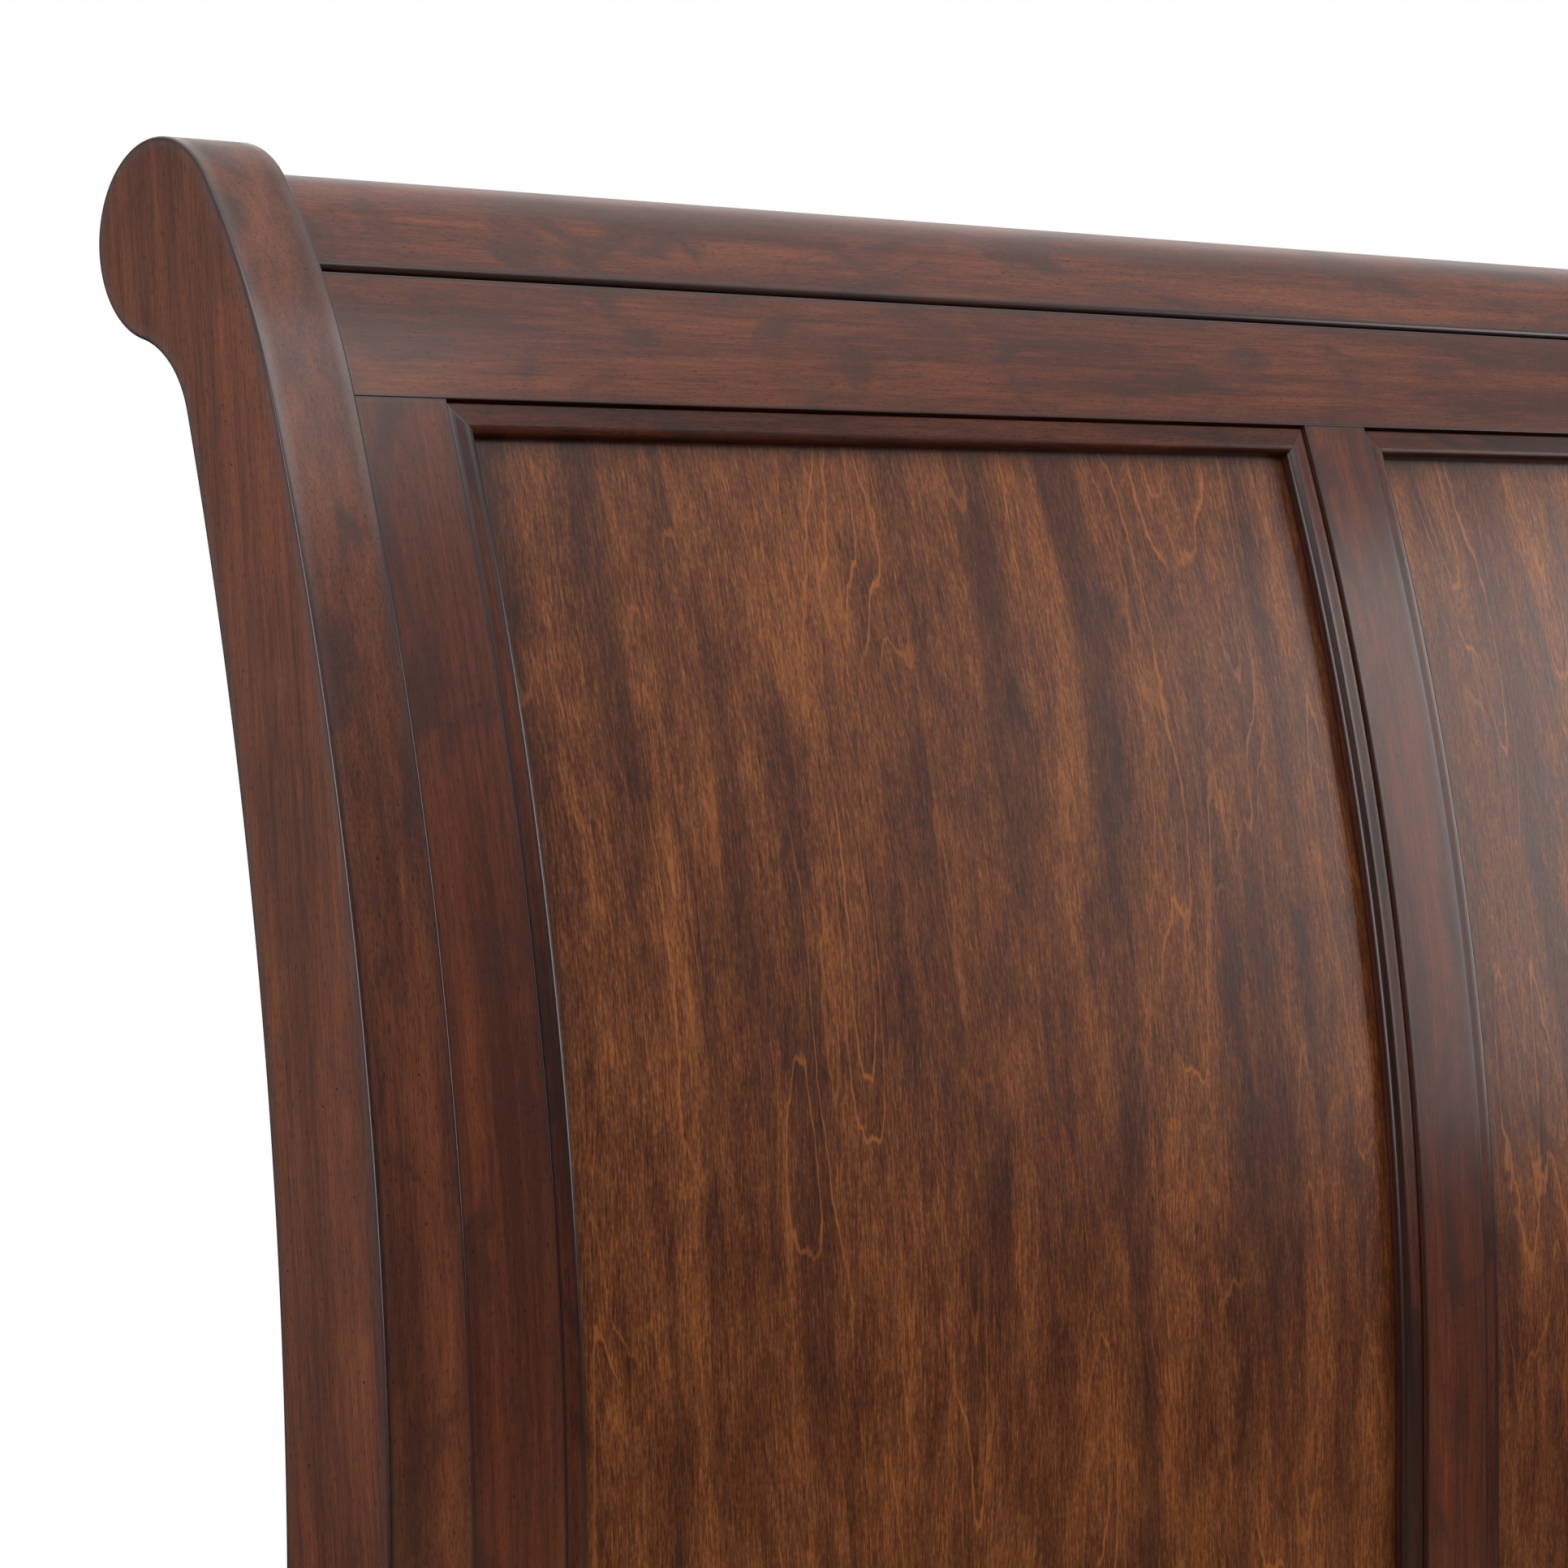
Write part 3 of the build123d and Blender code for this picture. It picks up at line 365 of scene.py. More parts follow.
def colour(code):
    """An sRGB hex code as a linear colour."""
    parts = [int(code[i:i + 2], 16) / 255 for i in (0, 2, 4)]
    return [p / 12.92 if p <= 0.04045 else ((p + 0.055) / 1.055) ** 2.4 for p in parts] + [1.0]


def add(tree, kind, sockets=None, stops=None, **settings):
    """A node with its settings, its input values or links by name or number, and a ramp's stops."""
    made = tree.nodes.new(kind)
    for setting, value in settings.items():
        setattr(made, setting, value)
    for socket, value in (sockets or {}).items():
        if isinstance(value, bpy.types.NodeSocket):
            tree.links.new(value, made.inputs[socket])
        else:
            made.inputs[socket].default_value = value
    if stops:
        elements = made.color_ramp.elements
        while len(elements) < len(stops):
            elements.new(0.5)
        for element, (position, code) in zip(elements, stops):
            element.position, element.color = position, colour(code)
    return made


def new_material(name):
    """An empty material with its output and one principled shader joined up."""
    material = bpy.data.materials.new(name)
    material.use_nodes = True
    tree = material.node_tree
    tree.nodes.clear()
    shader = add(tree, "ShaderNodeBsdfPrincipled")
    add(tree, "ShaderNodeOutputMaterial", {"Surface": shader.outputs[0]})
    return material, tree, shader


def size_to_scale(across, thickness, along):
    """Mapping scales for a pattern whose marks are this wide, thick and long, in millimetres."""
    return (1 / across, 1 / thickness, 1 / along)


def wood_pattern(tree, place, marks, detail=2.0, roughness=0.5, distortion=0.0):
    """Noise whose marks have a real size along and across the fibres; its value is from 0 to 1."""
    sized = add(tree, "ShaderNodeMapping", {"Vector": place, "Scale": size_to_scale(*marks)})
    return add(tree, "ShaderNodeTexNoise",
               {"Vector": sized.outputs[0], "Scale": 1.0, "Detail": detail, "Roughness": roughness,
                "Distortion": distortion}).outputs[0]


def stained_hardwood(name, dark, middle, light, glaze, coat, rubbed, rubbed_in, gather=0.75):
    """Wiped stain on close-grained birch, under satin lacquer.

    The stain gives soft streaks along the fibres and short dark pores. The glaze, wiped cleaner
    from the sides, leaves grey-brown smudges, gathers beside the arrises and stays as a dark line
    on them; on the roundings that line is partly painted shade, as under the crest roll's lower
    edge. The lacquer gives a soft sheen, of strength coat. Within rubbed_in millimetres of an
    arris it rises to rubbed, which gives a thin light line on a rounded one.
    """
    material, tree, shader = new_material(name)
    place = add(tree, "ShaderNodeAttribute", attribute_name="grain").outputs["Vector"]
    arris = add(tree, "ShaderNodeAttribute", attribute_name="arris").outputs["Fac"]

    # the stain takes deeper in some fibres than in others
    broad = wood_pattern(tree, place, (26, 26, 300), 3.0, 0.55, 0.4)
    streak = wood_pattern(tree, place, (4, 4, 170), 4.0, 0.6, 0.2)
    fibre = wood_pattern(tree, place, (0.8, 0.8, 20), 3.0, 0.6)
    tone = 0.0
    for pattern, share in ((broad, 0.40), (streak, 0.28), (fibre, 0.32)):
        tone = add(tree, "ShaderNodeMath", {0: pattern, 1: share, 2: tone},
                   operation="MULTIPLY_ADD").outputs[0]
    stain = add(tree, "ShaderNodeValToRGB", {0: tone},
                [(0.42, dark), (0.52, middle), (0.64, light)]).outputs[0]

    # the glaze stays in clouds, and beside the arrises
    left_on, left_on_sides = 0.8, 0.8 * 0.4
    facing = add(tree, "ShaderNodeNewGeometry").outputs["Normal"]
    facing_x = add(tree, "ShaderNodeSeparateXYZ", {0: facing}).outputs[0]
    sideways = add(tree, "ShaderNodeMath", {0: facing_x}, operation="ABSOLUTE").outputs[0]
    wiped = add(tree, "ShaderNodeMapRange", {0: sideways, FROM_LOW: 0.4, FROM_HIGH: 0.9,
                                             TO_LOW: left_on, TO_HIGH: left_on_sides}).outputs[0]
    cloud = wood_pattern(tree, place, (45, 45, 95), 4.0, 0.55, 0.8)
    cloudy = add(tree, "ShaderNodeMapRange", {0: cloud, FROM_LOW: 0.47, FROM_HIGH: 0.66,
                                              TO_LOW: 0.0, TO_HIGH: 1.0},
                 interpolation_type="SMOOTHSTEP").outputs[0]
    smudged = add(tree, "ShaderNodeMath", {0: cloudy, 1: wiped}, operation="MULTIPLY").outputs[0]
    near = add(tree, "ShaderNodeMapRange", {0: arris, FROM_LOW: 13.0, FROM_HIGH: 0.0,
                                            TO_LOW: 0.0, TO_HIGH: gather},
               interpolation_type="SMOOTHSTEP").outputs[0]
    uneven = wood_pattern(tree, place, (18, 18, 45), 2.0)
    held = add(tree, "ShaderNodeMath", {0: near, 1: uneven}, operation="MULTIPLY").outputs[0]
    either = add(tree, "ShaderNodeMath", {0: smudged, 1: held}, operation="MAXIMUM").outputs[0]
    glazed = add(tree, "ShaderNodeMix", {0: either, FIRST: stain, SECOND: colour(glaze)},
                 data_type="RGBA").outputs[MIXED]
    # the roundings darken to a near-black line: partly glaze, partly painted shade, as under the
    # crest roll's lower edge
    arris_glaze_and_shade_mask = add(tree, "ShaderNodeMapRange", {0: arris, FROM_LOW: 1.6, FROM_HIGH: 0.1,
                                             TO_LOW: 0.0, TO_HIGH: 0.7}).outputs[0]
    with_arris_glaze_and_shade = add(tree, "ShaderNodeMix", {0: arris_glaze_and_shade_mask, FIRST: glazed, SECOND: colour(ARRIS_GLAZE_AND_SHADE)},
                 data_type="RGBA").outputs[MIXED]

    # short pores, and small dents about 18 mm apart through the wood
    pore = wood_pattern(tree, place, (0.5, 0.5, 5), 1.0)
    pores = add(tree, "ShaderNodeMapRange", {0: pore, FROM_LOW: 0.3, FROM_HIGH: 0.42,
                                             TO_LOW: 0.35, TO_HIGH: 1.0}).outputs[0]
    spread = add(tree, "ShaderNodeMapping", {"Vector": place, "Scale": size_to_scale(18, 18, 18)})
    speck = add(tree, "ShaderNodeTexVoronoi",
                {"Vector": spread.outputs[0], "Scale": 1.0}).outputs[0]
    specks = add(tree, "ShaderNodeMapRange", {0: speck, FROM_LOW: 0.03, FROM_HIGH: 0.05,
                                              TO_LOW: 0.2, TO_HIGH: 1.0}).outputs[0]
    marks = add(tree, "ShaderNodeMath", {0: pores, 1: specks}, operation="MULTIPLY").outputs[0]
    marked = add(tree, "ShaderNodeMix", {0: 1.0, FIRST: with_arris_glaze_and_shade, SECOND: marks}, data_type="RGBA",
                 blend_type="MULTIPLY").outputs[MIXED]
    tree.links.new(marked, shader.inputs["Base Color"])

    # lacquer
    polish = add(tree, "ShaderNodeMapRange", {0: arris, FROM_LOW: rubbed_in, FROM_HIGH: 0.5,
                                              TO_LOW: coat, TO_HIGH: rubbed}).outputs[0]
    tree.links.new(polish, shader.inputs["Coat Weight"])
    shader.inputs["Coat Roughness"].default_value = 0.2
    shader.inputs["Coat IOR"].default_value = 1.65
    shader.inputs["IOR"].default_value = 1.5
    shader.inputs["Specular IOR Level"].default_value = 0.15
    rough = add(tree, "ShaderNodeMapRange", {0: streak, FROM_LOW: 0.3, FROM_HIGH: 0.7,
                                             TO_LOW: 0.42, TO_HIGH: 0.54}).outputs[0]
    tree.links.new(rough, shader.inputs["Roughness"])
    relief = add(tree, "ShaderNodeMath", {0: fibre, 1: 0.5, 2: marks},
                 operation="MULTIPLY_ADD").outputs[0]
    bump = add(tree, "ShaderNodeBump", {"Height": relief, "Distance": 0.0001, "Strength": 0.35})
    tree.links.new(bump.outputs[0], shader.inputs["Normal"])
    return material


def birch_veneer(name):
    """Rotary-cut birch veneer, stained and lacquered.

    The cut leaves large wandering flames with thin pale outlines, lighter on one side. The stain
    takes unevenly, in soft dark bands along the fibres, warm patches, a fine mottle and short
    fibre lines.
    """
    material, tree, shader = new_material(name)
    place = add(tree, "ShaderNodeAttribute", attribute_name="grain").outputs["Vector"]
    arris = add(tree, "ShaderNodeAttribute", attribute_name="arris").outputs["Fac"]

    # the fibres wander up to half of this many millimetres to either side
    wandering = 45.0
    drift = wood_pattern(tree, place, (140, 140, 420), 1.0)
    moved = add(tree, "ShaderNodeMath", {0: drift, 1: 0.5}, operation="SUBTRACT").outputs[0]
    aside = add(tree, "ShaderNodeMath", {0: moved, 1: wandering}, operation="MULTIPLY").outputs[0]
    push = add(tree, "ShaderNodeCombineXYZ", {0: aside}).outputs[0]
    wander = add(tree, "ShaderNodeVectorMath", {0: place, 1: push}, operation="ADD").outputs[0]

    # flames are contour lines of a slow pattern, with a little jag, and only in its higher part
    contours = 13.0
    jag = wood_pattern(tree, place, (5, 5, 16), 1.0)
    smooth = wood_pattern(tree, wander, (46, 46, 330), 1.0, 0.4, 0.15)
    figure = add(tree, "ShaderNodeMath", {0: jag, 1: 0.03, 2: smooth},
                 operation="MULTIPLY_ADD").outputs[0]
    level = add(tree, "ShaderNodeMath", {0: figure, 1: contours}, operation="MULTIPLY").outputs[0]
    high = add(tree, "ShaderNodeMapRange", {0: figure, FROM_LOW: 0.5, FROM_HIGH: 0.57,
                                            TO_LOW: 0.0, TO_HIGH: 1.0}).outputs[0]
    step = add(tree, "ShaderNodeMath", {0: level}, operation="FRACT").outputs[0]
    lifted = add(tree, "ShaderNodeMath", {0: step, 1: high}, operation="MULTIPLY").outputs[0]

    # stain
    patch = wood_pattern(tree, wander, (23, 23, 80), 3.0, 0.55, 0.5)
    streak = wood_pattern(tree, wander, (1.7, 1.7, 36), 2.0, 0.6)
    mottle = wood_pattern(tree, place, (1.3, 1.3, 3.5), 2.0, 0.6)
    fibre = wood_pattern(tree, wander, (0.7, 0.7, 11), 2.0, 0.65)
    band = wood_pattern(tree, wander, (27, 27, 420), 3.0, 0.55, 0.3)
    banded = add(tree, "ShaderNodeMapRange", {0: band, FROM_LOW: 0.46, FROM_HIGH: 0.68,
                                              TO_LOW: 0.0, TO_HIGH: 1.0},
                 interpolation_type="SMOOTHSTEP").outputs[0]
    tone = 0.0
    for pattern, share in ((patch, 0.25), (streak, 0.12), (mottle, 0.23), (fibre, 0.40),
                           (lifted, 0.035), (banded, -0.04)):
        tone = add(tree, "ShaderNodeMath", {0: pattern, 1: share, 2: tone},
                   operation="MULTIPLY_ADD").outputs[0]
    stain = add(tree, "ShaderNodeValToRGB", {0: tone},
                [(0.39, "3b1e14"), (0.46, "5b2f19"), (0.535, "764323"),
                 (0.62, "9e5f2f")]).outputs[0]
    steeped = add(tree, "ShaderNodeMath", {0: banded, 1: 0.32}, operation="MULTIPLY").outputs[0]
    dulled = add(tree, "ShaderNodeMix", {0: steeped, FIRST: stain, SECOND: colour(STEEPED)},
                 data_type="RGBA").outputs[MIXED]

    # the flames' pale outlines, which come and go
    off = add(tree, "ShaderNodeMath", {0: level, 1: 0.5}, operation="PINGPONG").outputs[0]
    line = add(tree, "ShaderNodeMapRange", {0: off, FROM_LOW: 0.075, FROM_HIGH: 0.02,
                                            TO_LOW: 0.0, TO_HIGH: 0.6}).outputs[0]
    where = wood_pattern(tree, place, (70, 70, 180), 2.0)
    shown = add(tree, "ShaderNodeMapRange", {0: where, FROM_LOW: 0.46, FROM_HIGH: 0.56,
                                             TO_LOW: 0.0, TO_HIGH: 1.0}).outputs[0]
    kept = add(tree, "ShaderNodeMath", {0: shown, 1: high}, operation="MULTIPLY").outputs[0]
    flame = add(tree, "ShaderNodeMath", {0: line, 1: kept}, operation="MULTIPLY").outputs[0]
    flamed = add(tree, "ShaderNodeMix", {0: flame, FIRST: dulled, SECOND: colour(FLAME_LINE)},
                 data_type="RGBA").outputs[MIXED]

    # glaze left beside the mouldings, with painted shade where the mouldings and the frame shade
    # the panel
    near = add(tree, "ShaderNodeMapRange", {0: arris, FROM_LOW: 15.0, FROM_HIGH: 0.0,
                                            TO_LOW: 0.0, TO_HIGH: 0.5},
               interpolation_type="SMOOTHSTEP").outputs[0]
    glazed_and_shaded_edges = add(tree, "ShaderNodeMix", {0: near, FIRST: flamed, SECOND: colour(MOULDING_GLAZE_AND_SHADE)},
                data_type="RGBA").outputs[MIXED]
    tree.links.new(glazed_and_shaded_edges, shader.inputs["Base Color"])

    # lacquer
    shader.inputs["Coat Weight"].default_value = 0.4
    shader.inputs["Coat Roughness"].default_value = 0.26
    shader.inputs["IOR"].default_value = 1.5
    shader.inputs["Specular IOR Level"].default_value = 0.15
    rough = add(tree, "ShaderNodeMapRange", {0: patch, FROM_LOW: 0.3, FROM_HIGH: 0.7,
                                             TO_LOW: 0.4, TO_HIGH: 0.52}).outputs[0]
    tree.links.new(rough, shader.inputs["Roughness"])
    bump = add(tree, "ShaderNodeBump", {"Height": fibre, "Distance": 0.0001, "Strength": 0.3})
    tree.links.new(bump.outputs[0], shader.inputs["Normal"])
    return material


def sawn_softwood(name, fibres_along):
    """Planed pine for the deck: pale and dry, with darker growth lines along the fibres."""
    material, tree, shader = new_material(name)
    order = {"x": (1, 2, 0), "y": (0, 2, 1), "z": (0, 1, 2)}[fibres_along]
    place = add(tree, "ShaderNodeTexCoord").outputs["Object"]
    parts = add(tree, "ShaderNodeSeparateXYZ", {0: place}).outputs
    along = add(tree, "ShaderNodeCombineXYZ", {n: parts[axis] for n, axis in enumerate(order)})
    in_mm = add(tree, "ShaderNodeVectorMath", {0: along.outputs[0], "Scale": float(MM_PER_M)},
                operation="SCALE").outputs[0]
    growth = wood_pattern(tree, in_mm, (7, 7, 420), 3.0, 0.5, 0.3)
    fibre = wood_pattern(tree, in_mm, (0.8, 0.8, 18), 2.0)
    grown = add(tree, "ShaderNodeMath", {0: growth, 1: 0.7}, operation="MULTIPLY").outputs[0]
    tone = add(tree, "ShaderNodeMath", {0: fibre, 1: 0.3, 2: grown},
               operation="MULTIPLY_ADD").outputs[0]
    pine = add(tree, "ShaderNodeValToRGB", {0: tone},
               [(0.36, "a9814f"), (0.5, "c9a473"), (0.64, "dcc096")]).outputs[0]
    tree.links.new(pine, shader.inputs["Base Color"])
    rough = add(tree, "ShaderNodeMapRange", {0: growth, FROM_LOW: 0.3, FROM_HIGH: 0.7,
                                             TO_LOW: 0.6, TO_HIGH: 0.75}).outputs[0]
    tree.links.new(rough, shader.inputs["Roughness"])
    bump = add(tree, "ShaderNodeBump", {"Height": tone, "Distance": 0.0002, "Strength": 0.4})
    tree.links.new(bump.outputs[0], shader.inputs["Normal"])
    return material


def fine_grained(name, low, high, metallic, rough_low, rough_high, grit):
    """Plating or moulded plastic: colour and gloss drift over 25 mm, and the grit is finer."""
    material, tree, shader = new_material(name)
    drift = 25
    place = add(tree, "ShaderNodeTexCoord").outputs["Object"]
    grain = add(tree, "ShaderNodeTexNoise",
                {"Vector": place, "Scale": MM_PER_M / grit, "Detail": 2.0}).outputs[0]
    cloud = add(tree, "ShaderNodeTexNoise",
                {"Vector": place, "Scale": MM_PER_M / drift, "Detail": 3.0}).outputs[0]
    tint = add(tree, "ShaderNodeValToRGB", {0: cloud}, [(0.35, low), (0.65, high)]).outputs[0]
    tree.links.new(tint, shader.inputs["Base Color"])
    rough = add(tree, "ShaderNodeMapRange", {0: cloud, FROM_LOW: 0.3, FROM_HIGH: 0.7,
                                             TO_LOW: rough_low, TO_HIGH: rough_high}).outputs[0]
    tree.links.new(rough, shader.inputs["Roughness"])
    shader.inputs["Metallic"].default_value = metallic
    bump = add(tree, "ShaderNodeBump", {"Height": grain, "Distance": 0.0001, "Strength": 0.2})
    tree.links.new(bump.outputs[0], shader.inputs["Normal"])
    return material


frame_wood = stained_hardwood("stained_birch_frame", "4a2519", "653321", "804528", "41261f",
                              coat=0.35, rubbed=0.5, rubbed_in=3.0)
post_wood = stained_hardwood("stained_birch_post", "4d291e", "683926", "82492f", "3d2723",
                             coat=0.35, rubbed=0.75, rubbed_in=8.0)
moulding_wood = stained_hardwood("stained_birch_moulding", "3c1b13", "592a19", "763c22", "2b1711",
                                 coat=0.22, rubbed=0.7, rubbed_in=3.0, gather=0.45)
veneer = birch_veneer("stained_birch_veneer")
deck_x = sawn_softwood("planed_pine_slats", "x")
deck_y = sawn_softwood("planed_pine_rails", "y")
deck_z = sawn_softwood("planed_pine_legs", "z")
zinc_steel = fine_grained("zinc_plated_steel", "a9aaa6", "c7c8c4", 1.0, 0.3, 0.45, 0.8)
nylon = fine_grained("moulded_black_nylon", "1c1c1d", "262627", 0.0, 0.45, 0.6, 0.6)

# ---- the two ends
head = EndBoard("headboard", facing=1, stands_at=991.653, height=1420, sweep_radius=1960,
                neck_radius=433, scroll_radius=55, roll_radius=48, cove_radius=58,
                sweep_turn=18.5, neck_turn=36, roll_turn=33.6, outer_radius=2270, outer_drop=18)
foot = EndBoard("footboard", facing=-1, stands_at=-1065.347, height=890, sweep_radius=1000,
                neck_radius=330, scroll_radius=48, roll_radius=42, cove_radius=46,
                sweep_turn=18.5, neck_turn=37, roll_turn=34, outer_radius=1230, outer_drop=18)


def post_outline(board):
    """A post's side: plumb face, sweep, neck and scroll, the cove under it, then the outer curve.

    The rows on the post's flat sides step inwards from this outline, but not near its foot.
    """
    outline = Outline()
    bottom, half_turn = glide_thickness + post_ease, math.pi
    heel = post_depth - post_ease
    outline.arc((post_ease, bottom), post_ease, 1.5 * half_turn, half_turn, steps=ROUND_STEPS)
    outline.straight((0, bottom), (0, board.plumb), (-1, 0), PLUMB_STEP)
    outline.arc(board.sweep_centre, board.sweep_radius, half_turn, half_turn - board.sweep_turn)
    outline.arc(board.neck_centre, board.neck_radius, half_turn - board.sweep_turn,
                half_turn - board.neck_turn, spacing=NECK_STEP)
    to_cove = math.atan2(*(board.cove_centre - board.scroll_centre)[::-1])
    from_outer = math.atan2(*(board.cove_centre - board.outer_centre)[::-1])
    outline.arc(board.scroll_centre, board.scroll_radius, half_turn - board.neck_turn, to_cove,
                spacing=FINE_STEP)
    outline.arc(board.cove_centre, board.cove_radius, to_cove + half_turn, from_outer, outward=-1,
                spacing=FINE_STEP)
    outline.arc(board.outer_centre, board.outer_radius, from_outer, half_turn, outward=-1)
    outline.straight((post_depth, board.outer_centre[1]), (post_depth, bottom), (1, 0), PLUMB_STEP)
    outline.arc((heel, bottom), post_ease, 0, -half_turn / 2, steps=ROUND_STEPS)
    outline.straight((heel, glide_thickness), (post_ease, glide_thickness), (0, -1))
    points, normals, arris, _ = outline.closed()
    return points, normals, arris, np.clip((points[:, 1] - rows_start) / rows_grow, 0, 1)


def crest_outline(board):
    """A crest roll's end, clockwise: down the face, under, up behind the frieze rail, round."""
    roll, back = board.roll_centre, set_back + frame_thickness + tuck_play
    tuck_place = lower_crossing(roll, board.roll_radius,
                                board.neck_centre, board.neck_radius - back)
    roll_run = board.sweep_end + (board.roll_turn - board.sweep_turn) * board.neck_radius
    across, up = tuck_place - board.neck_centre
    tuck_run = board.sweep_end + (math.atan2(up, -across) - board.sweep_turn) * board.neck_radius
    low, lip = board.frieze_top, board.frieze_top + shadow_gap
    face = Outline()
    face.straight((set_back, roll_run), (set_back, lip + crest_ease), (-1, 0), NECK_STEP)
    face.arc((set_back + crest_ease, lip + crest_ease), crest_ease, math.pi, 1.5 * math.pi,
             steps=LIP_STEPS)
    face.straight((set_back + crest_ease, lip), (set_back + shadow_depth, lip), (0, -1))
    face.straight((set_back + shadow_depth, lip), (set_back + shadow_depth, low), (-1, 0))
    face.straight((set_back + shadow_depth, low), (back - tuck_ease, low), (0, -1))
    face.arc((back - tuck_ease, low + tuck_ease), tuck_ease, -math.pi / 2, 0, steps=TUCK_STEPS)
    face.straight((back, low + tuck_ease), (back, tuck_run), (1, 0), NECK_STEP)
    (depth, run), (n_depth, n_run) = np.concatenate(face.points).T, np.concatenate(face.normals).T
    y, z, lean = board.point(depth, run)
    outline = Outline()
    outline.put(np.stack((y, z), axis=-1),
                np.stack((n_depth * np.cos(lean) + n_run * np.sin(lean),
                          n_run * np.cos(lean) - n_depth * np.sin(lean)), axis=-1),
                np.clip(run - lip - crest_ease, 0, ARRIS_REACH))
    behind = math.atan2(*(tuck_place - roll)[::-1])
    outline.arc(roll, board.roll_radius, behind, math.pi - board.roll_turn, spacing=FINE_STEP)
    return outline.closed()


def leaning_board(board, places):
    """Places of a post in the straight plank it was sawn from, whose fibres lean back a little."""
    y, z = (places[:, 1] - board.stands_at) * board.facing, places[:, 2]
    cosine, sine = math.cos(plank_lean), math.sin(plank_lean)
    return board_from(np.stack((places[:, 0] * board.facing, y * cosine - z * sine,
                                z * cosine + y * sine), axis=-1))


def sawn(placed, drawn):
    """A placed solid, with its places in the straight board that it was drawn in."""
    return (*placed, board_from(drawn[0]))


for board in (head, foot):
    name = board.name
    for side, hand in ((-1, "left"), (1, "right")):
        near, far = sorted((side * inner_x, side * half_width))
        drawn = carried(post_outline(board), near, far, post_ease, inner_rings=HOLDS)
        post = beside_board(board, drawn)
        make_piece(f"{name}_post_{hand}_stained", [(*post, leaning_board(board, post[0]))],
                   post_wood, f"{name}_post_{hand}")

    drawn = carried(crest_outline(board), shy - inner_x, inner_x - shy, crest_end,
                    spacing=LONG_STEP)
    make_piece(f"{name}_crest_roll_stained", [sawn(beside_board(board, drawn), drawn)],
               frame_wood, f"{name}_crest_roll")

    # rails across the end, grooved along the edge that holds the panels
    near, far = sorted((board.below(0), board.below(frame_thickness)))
    panel_near, panel_far = sorted((board.below(panel_sink),
                                    board.below(panel_sink + panel_thickness)))
    groove_near, groove_far = panel_near - groove_play, panel_far + groove_play
    groove_eases = [groove_lip, groove_corner, groove_corner, groove_lip]
    low, high = board.frieze_bottom, board.frieze_top
    frieze = eased(
        [(near, low), (groove_near, low), (groove_near, low + groove_depth),
         (groove_far, low + groove_depth), (groove_far, low), (far, low), (far, high),
         (near, high)],
        [frame_ease, *groove_eases, frame_ease, frame_ease, frieze_ease], spacing=FRIEZE_STEP)
    low, high = lower_rail_bottom, lower_rail_top
    lower = eased(
        [(near, low), (far, low), (far, high), (groove_far, high),
         (groove_far, high - groove_depth), (groove_near, high - groove_depth),
         (groove_near, high), (near, high)],
        [lower_rail_ease, lower_rail_ease, frame_ease, *groove_eases, frame_ease],
        spacing=LOWER_RAIL_STEP)
    for part, outline in (("frieze_rail", frieze), ("lower_rail", lower)):
        drawn = carried(outline, shy - inner_x, inner_x - shy, rail_end, spacing=LONG_STEP)
        make_piece(f"{name}_{part}_stained", [sawn(across_board(board, drawn), drawn)],
                   frame_wood, f"{name}_{part}")

    # uprights between the rails, grooved on the edges that hold the panels
    for part, left, right, grooved in (
            ("stile_left", -inner_x, -inner_x + stile_width, (1,)),
            ("stile_right", inner_x - stile_width, inner_x, (-1,)),
            ("mullion", -mullion_width / 2, mullion_width / 2, (-1, 1))):
        corners, eases = [(left, near), (right, near)], [frame_ease, frame_ease]
        if 1 in grooved:
            corners += [(right, groove_near), (right - groove_depth, groove_near),
                        (right - groove_depth, groove_far), (right, groove_far)]
            eases += groove_eases
        corners += [(right, far), (left, far)]
        eases += [frame_ease, frame_ease]
        if -1 in grooved:
            corners += [(left, groove_far), (left + groove_depth, groove_far),
                        (left + groove_depth, groove_near), (left, groove_near)]
            eases += groove_eases
        drawn = carried(eased(corners, eases), lower_rail_top + shy, board.frieze_bottom - shy,
                        upright_end, spacing=UPRIGHT_STEP)
        make_piece(f"{name}_{part}_stained", [sawn(up_board(board, drawn), drawn)],
                   frame_wood, f"{name}_{part}")

    # panels, tucked into the grooves, and the mitred strips round each
    for hand, left, right in (("left", -inner_x + stile_width, -mullion_width / 2),
                              ("right", mullion_width / 2, inner_x - stile_width)):
        sheet = eased([(left - tuck, panel_near), (right + tuck, panel_near),
                       (right + tuck, panel_far), (left - tuck, panel_far)],
                      [panel_ease] * 4, rows=PANEL_HOLDS)
        drawn = carried(sheet, lower_rail_top - tuck, board.frieze_bottom + tuck, panel_end,
                        spacing=UPRIGHT_STEP, rows=PANEL_HOLDS)
        # a panel's arris distance counts from the strips' inner edges
        across, _, run = drawn[0].T
        edge = np.minimum.reduce([across - left, right - across, run - lower_rail_top,
                                  board.frieze_bottom - run]) - moulding_width - moulding_gap
        drawn = (drawn[0], drawn[1], np.clip(edge, 0, ARRIS_REACH * 2), drawn[3])
        make_piece(f"{name}_panel_{hand}_veneered", [sawn(up_board(board, drawn), drawn)],
                   veneer, f"{name}_panel_{hand}")

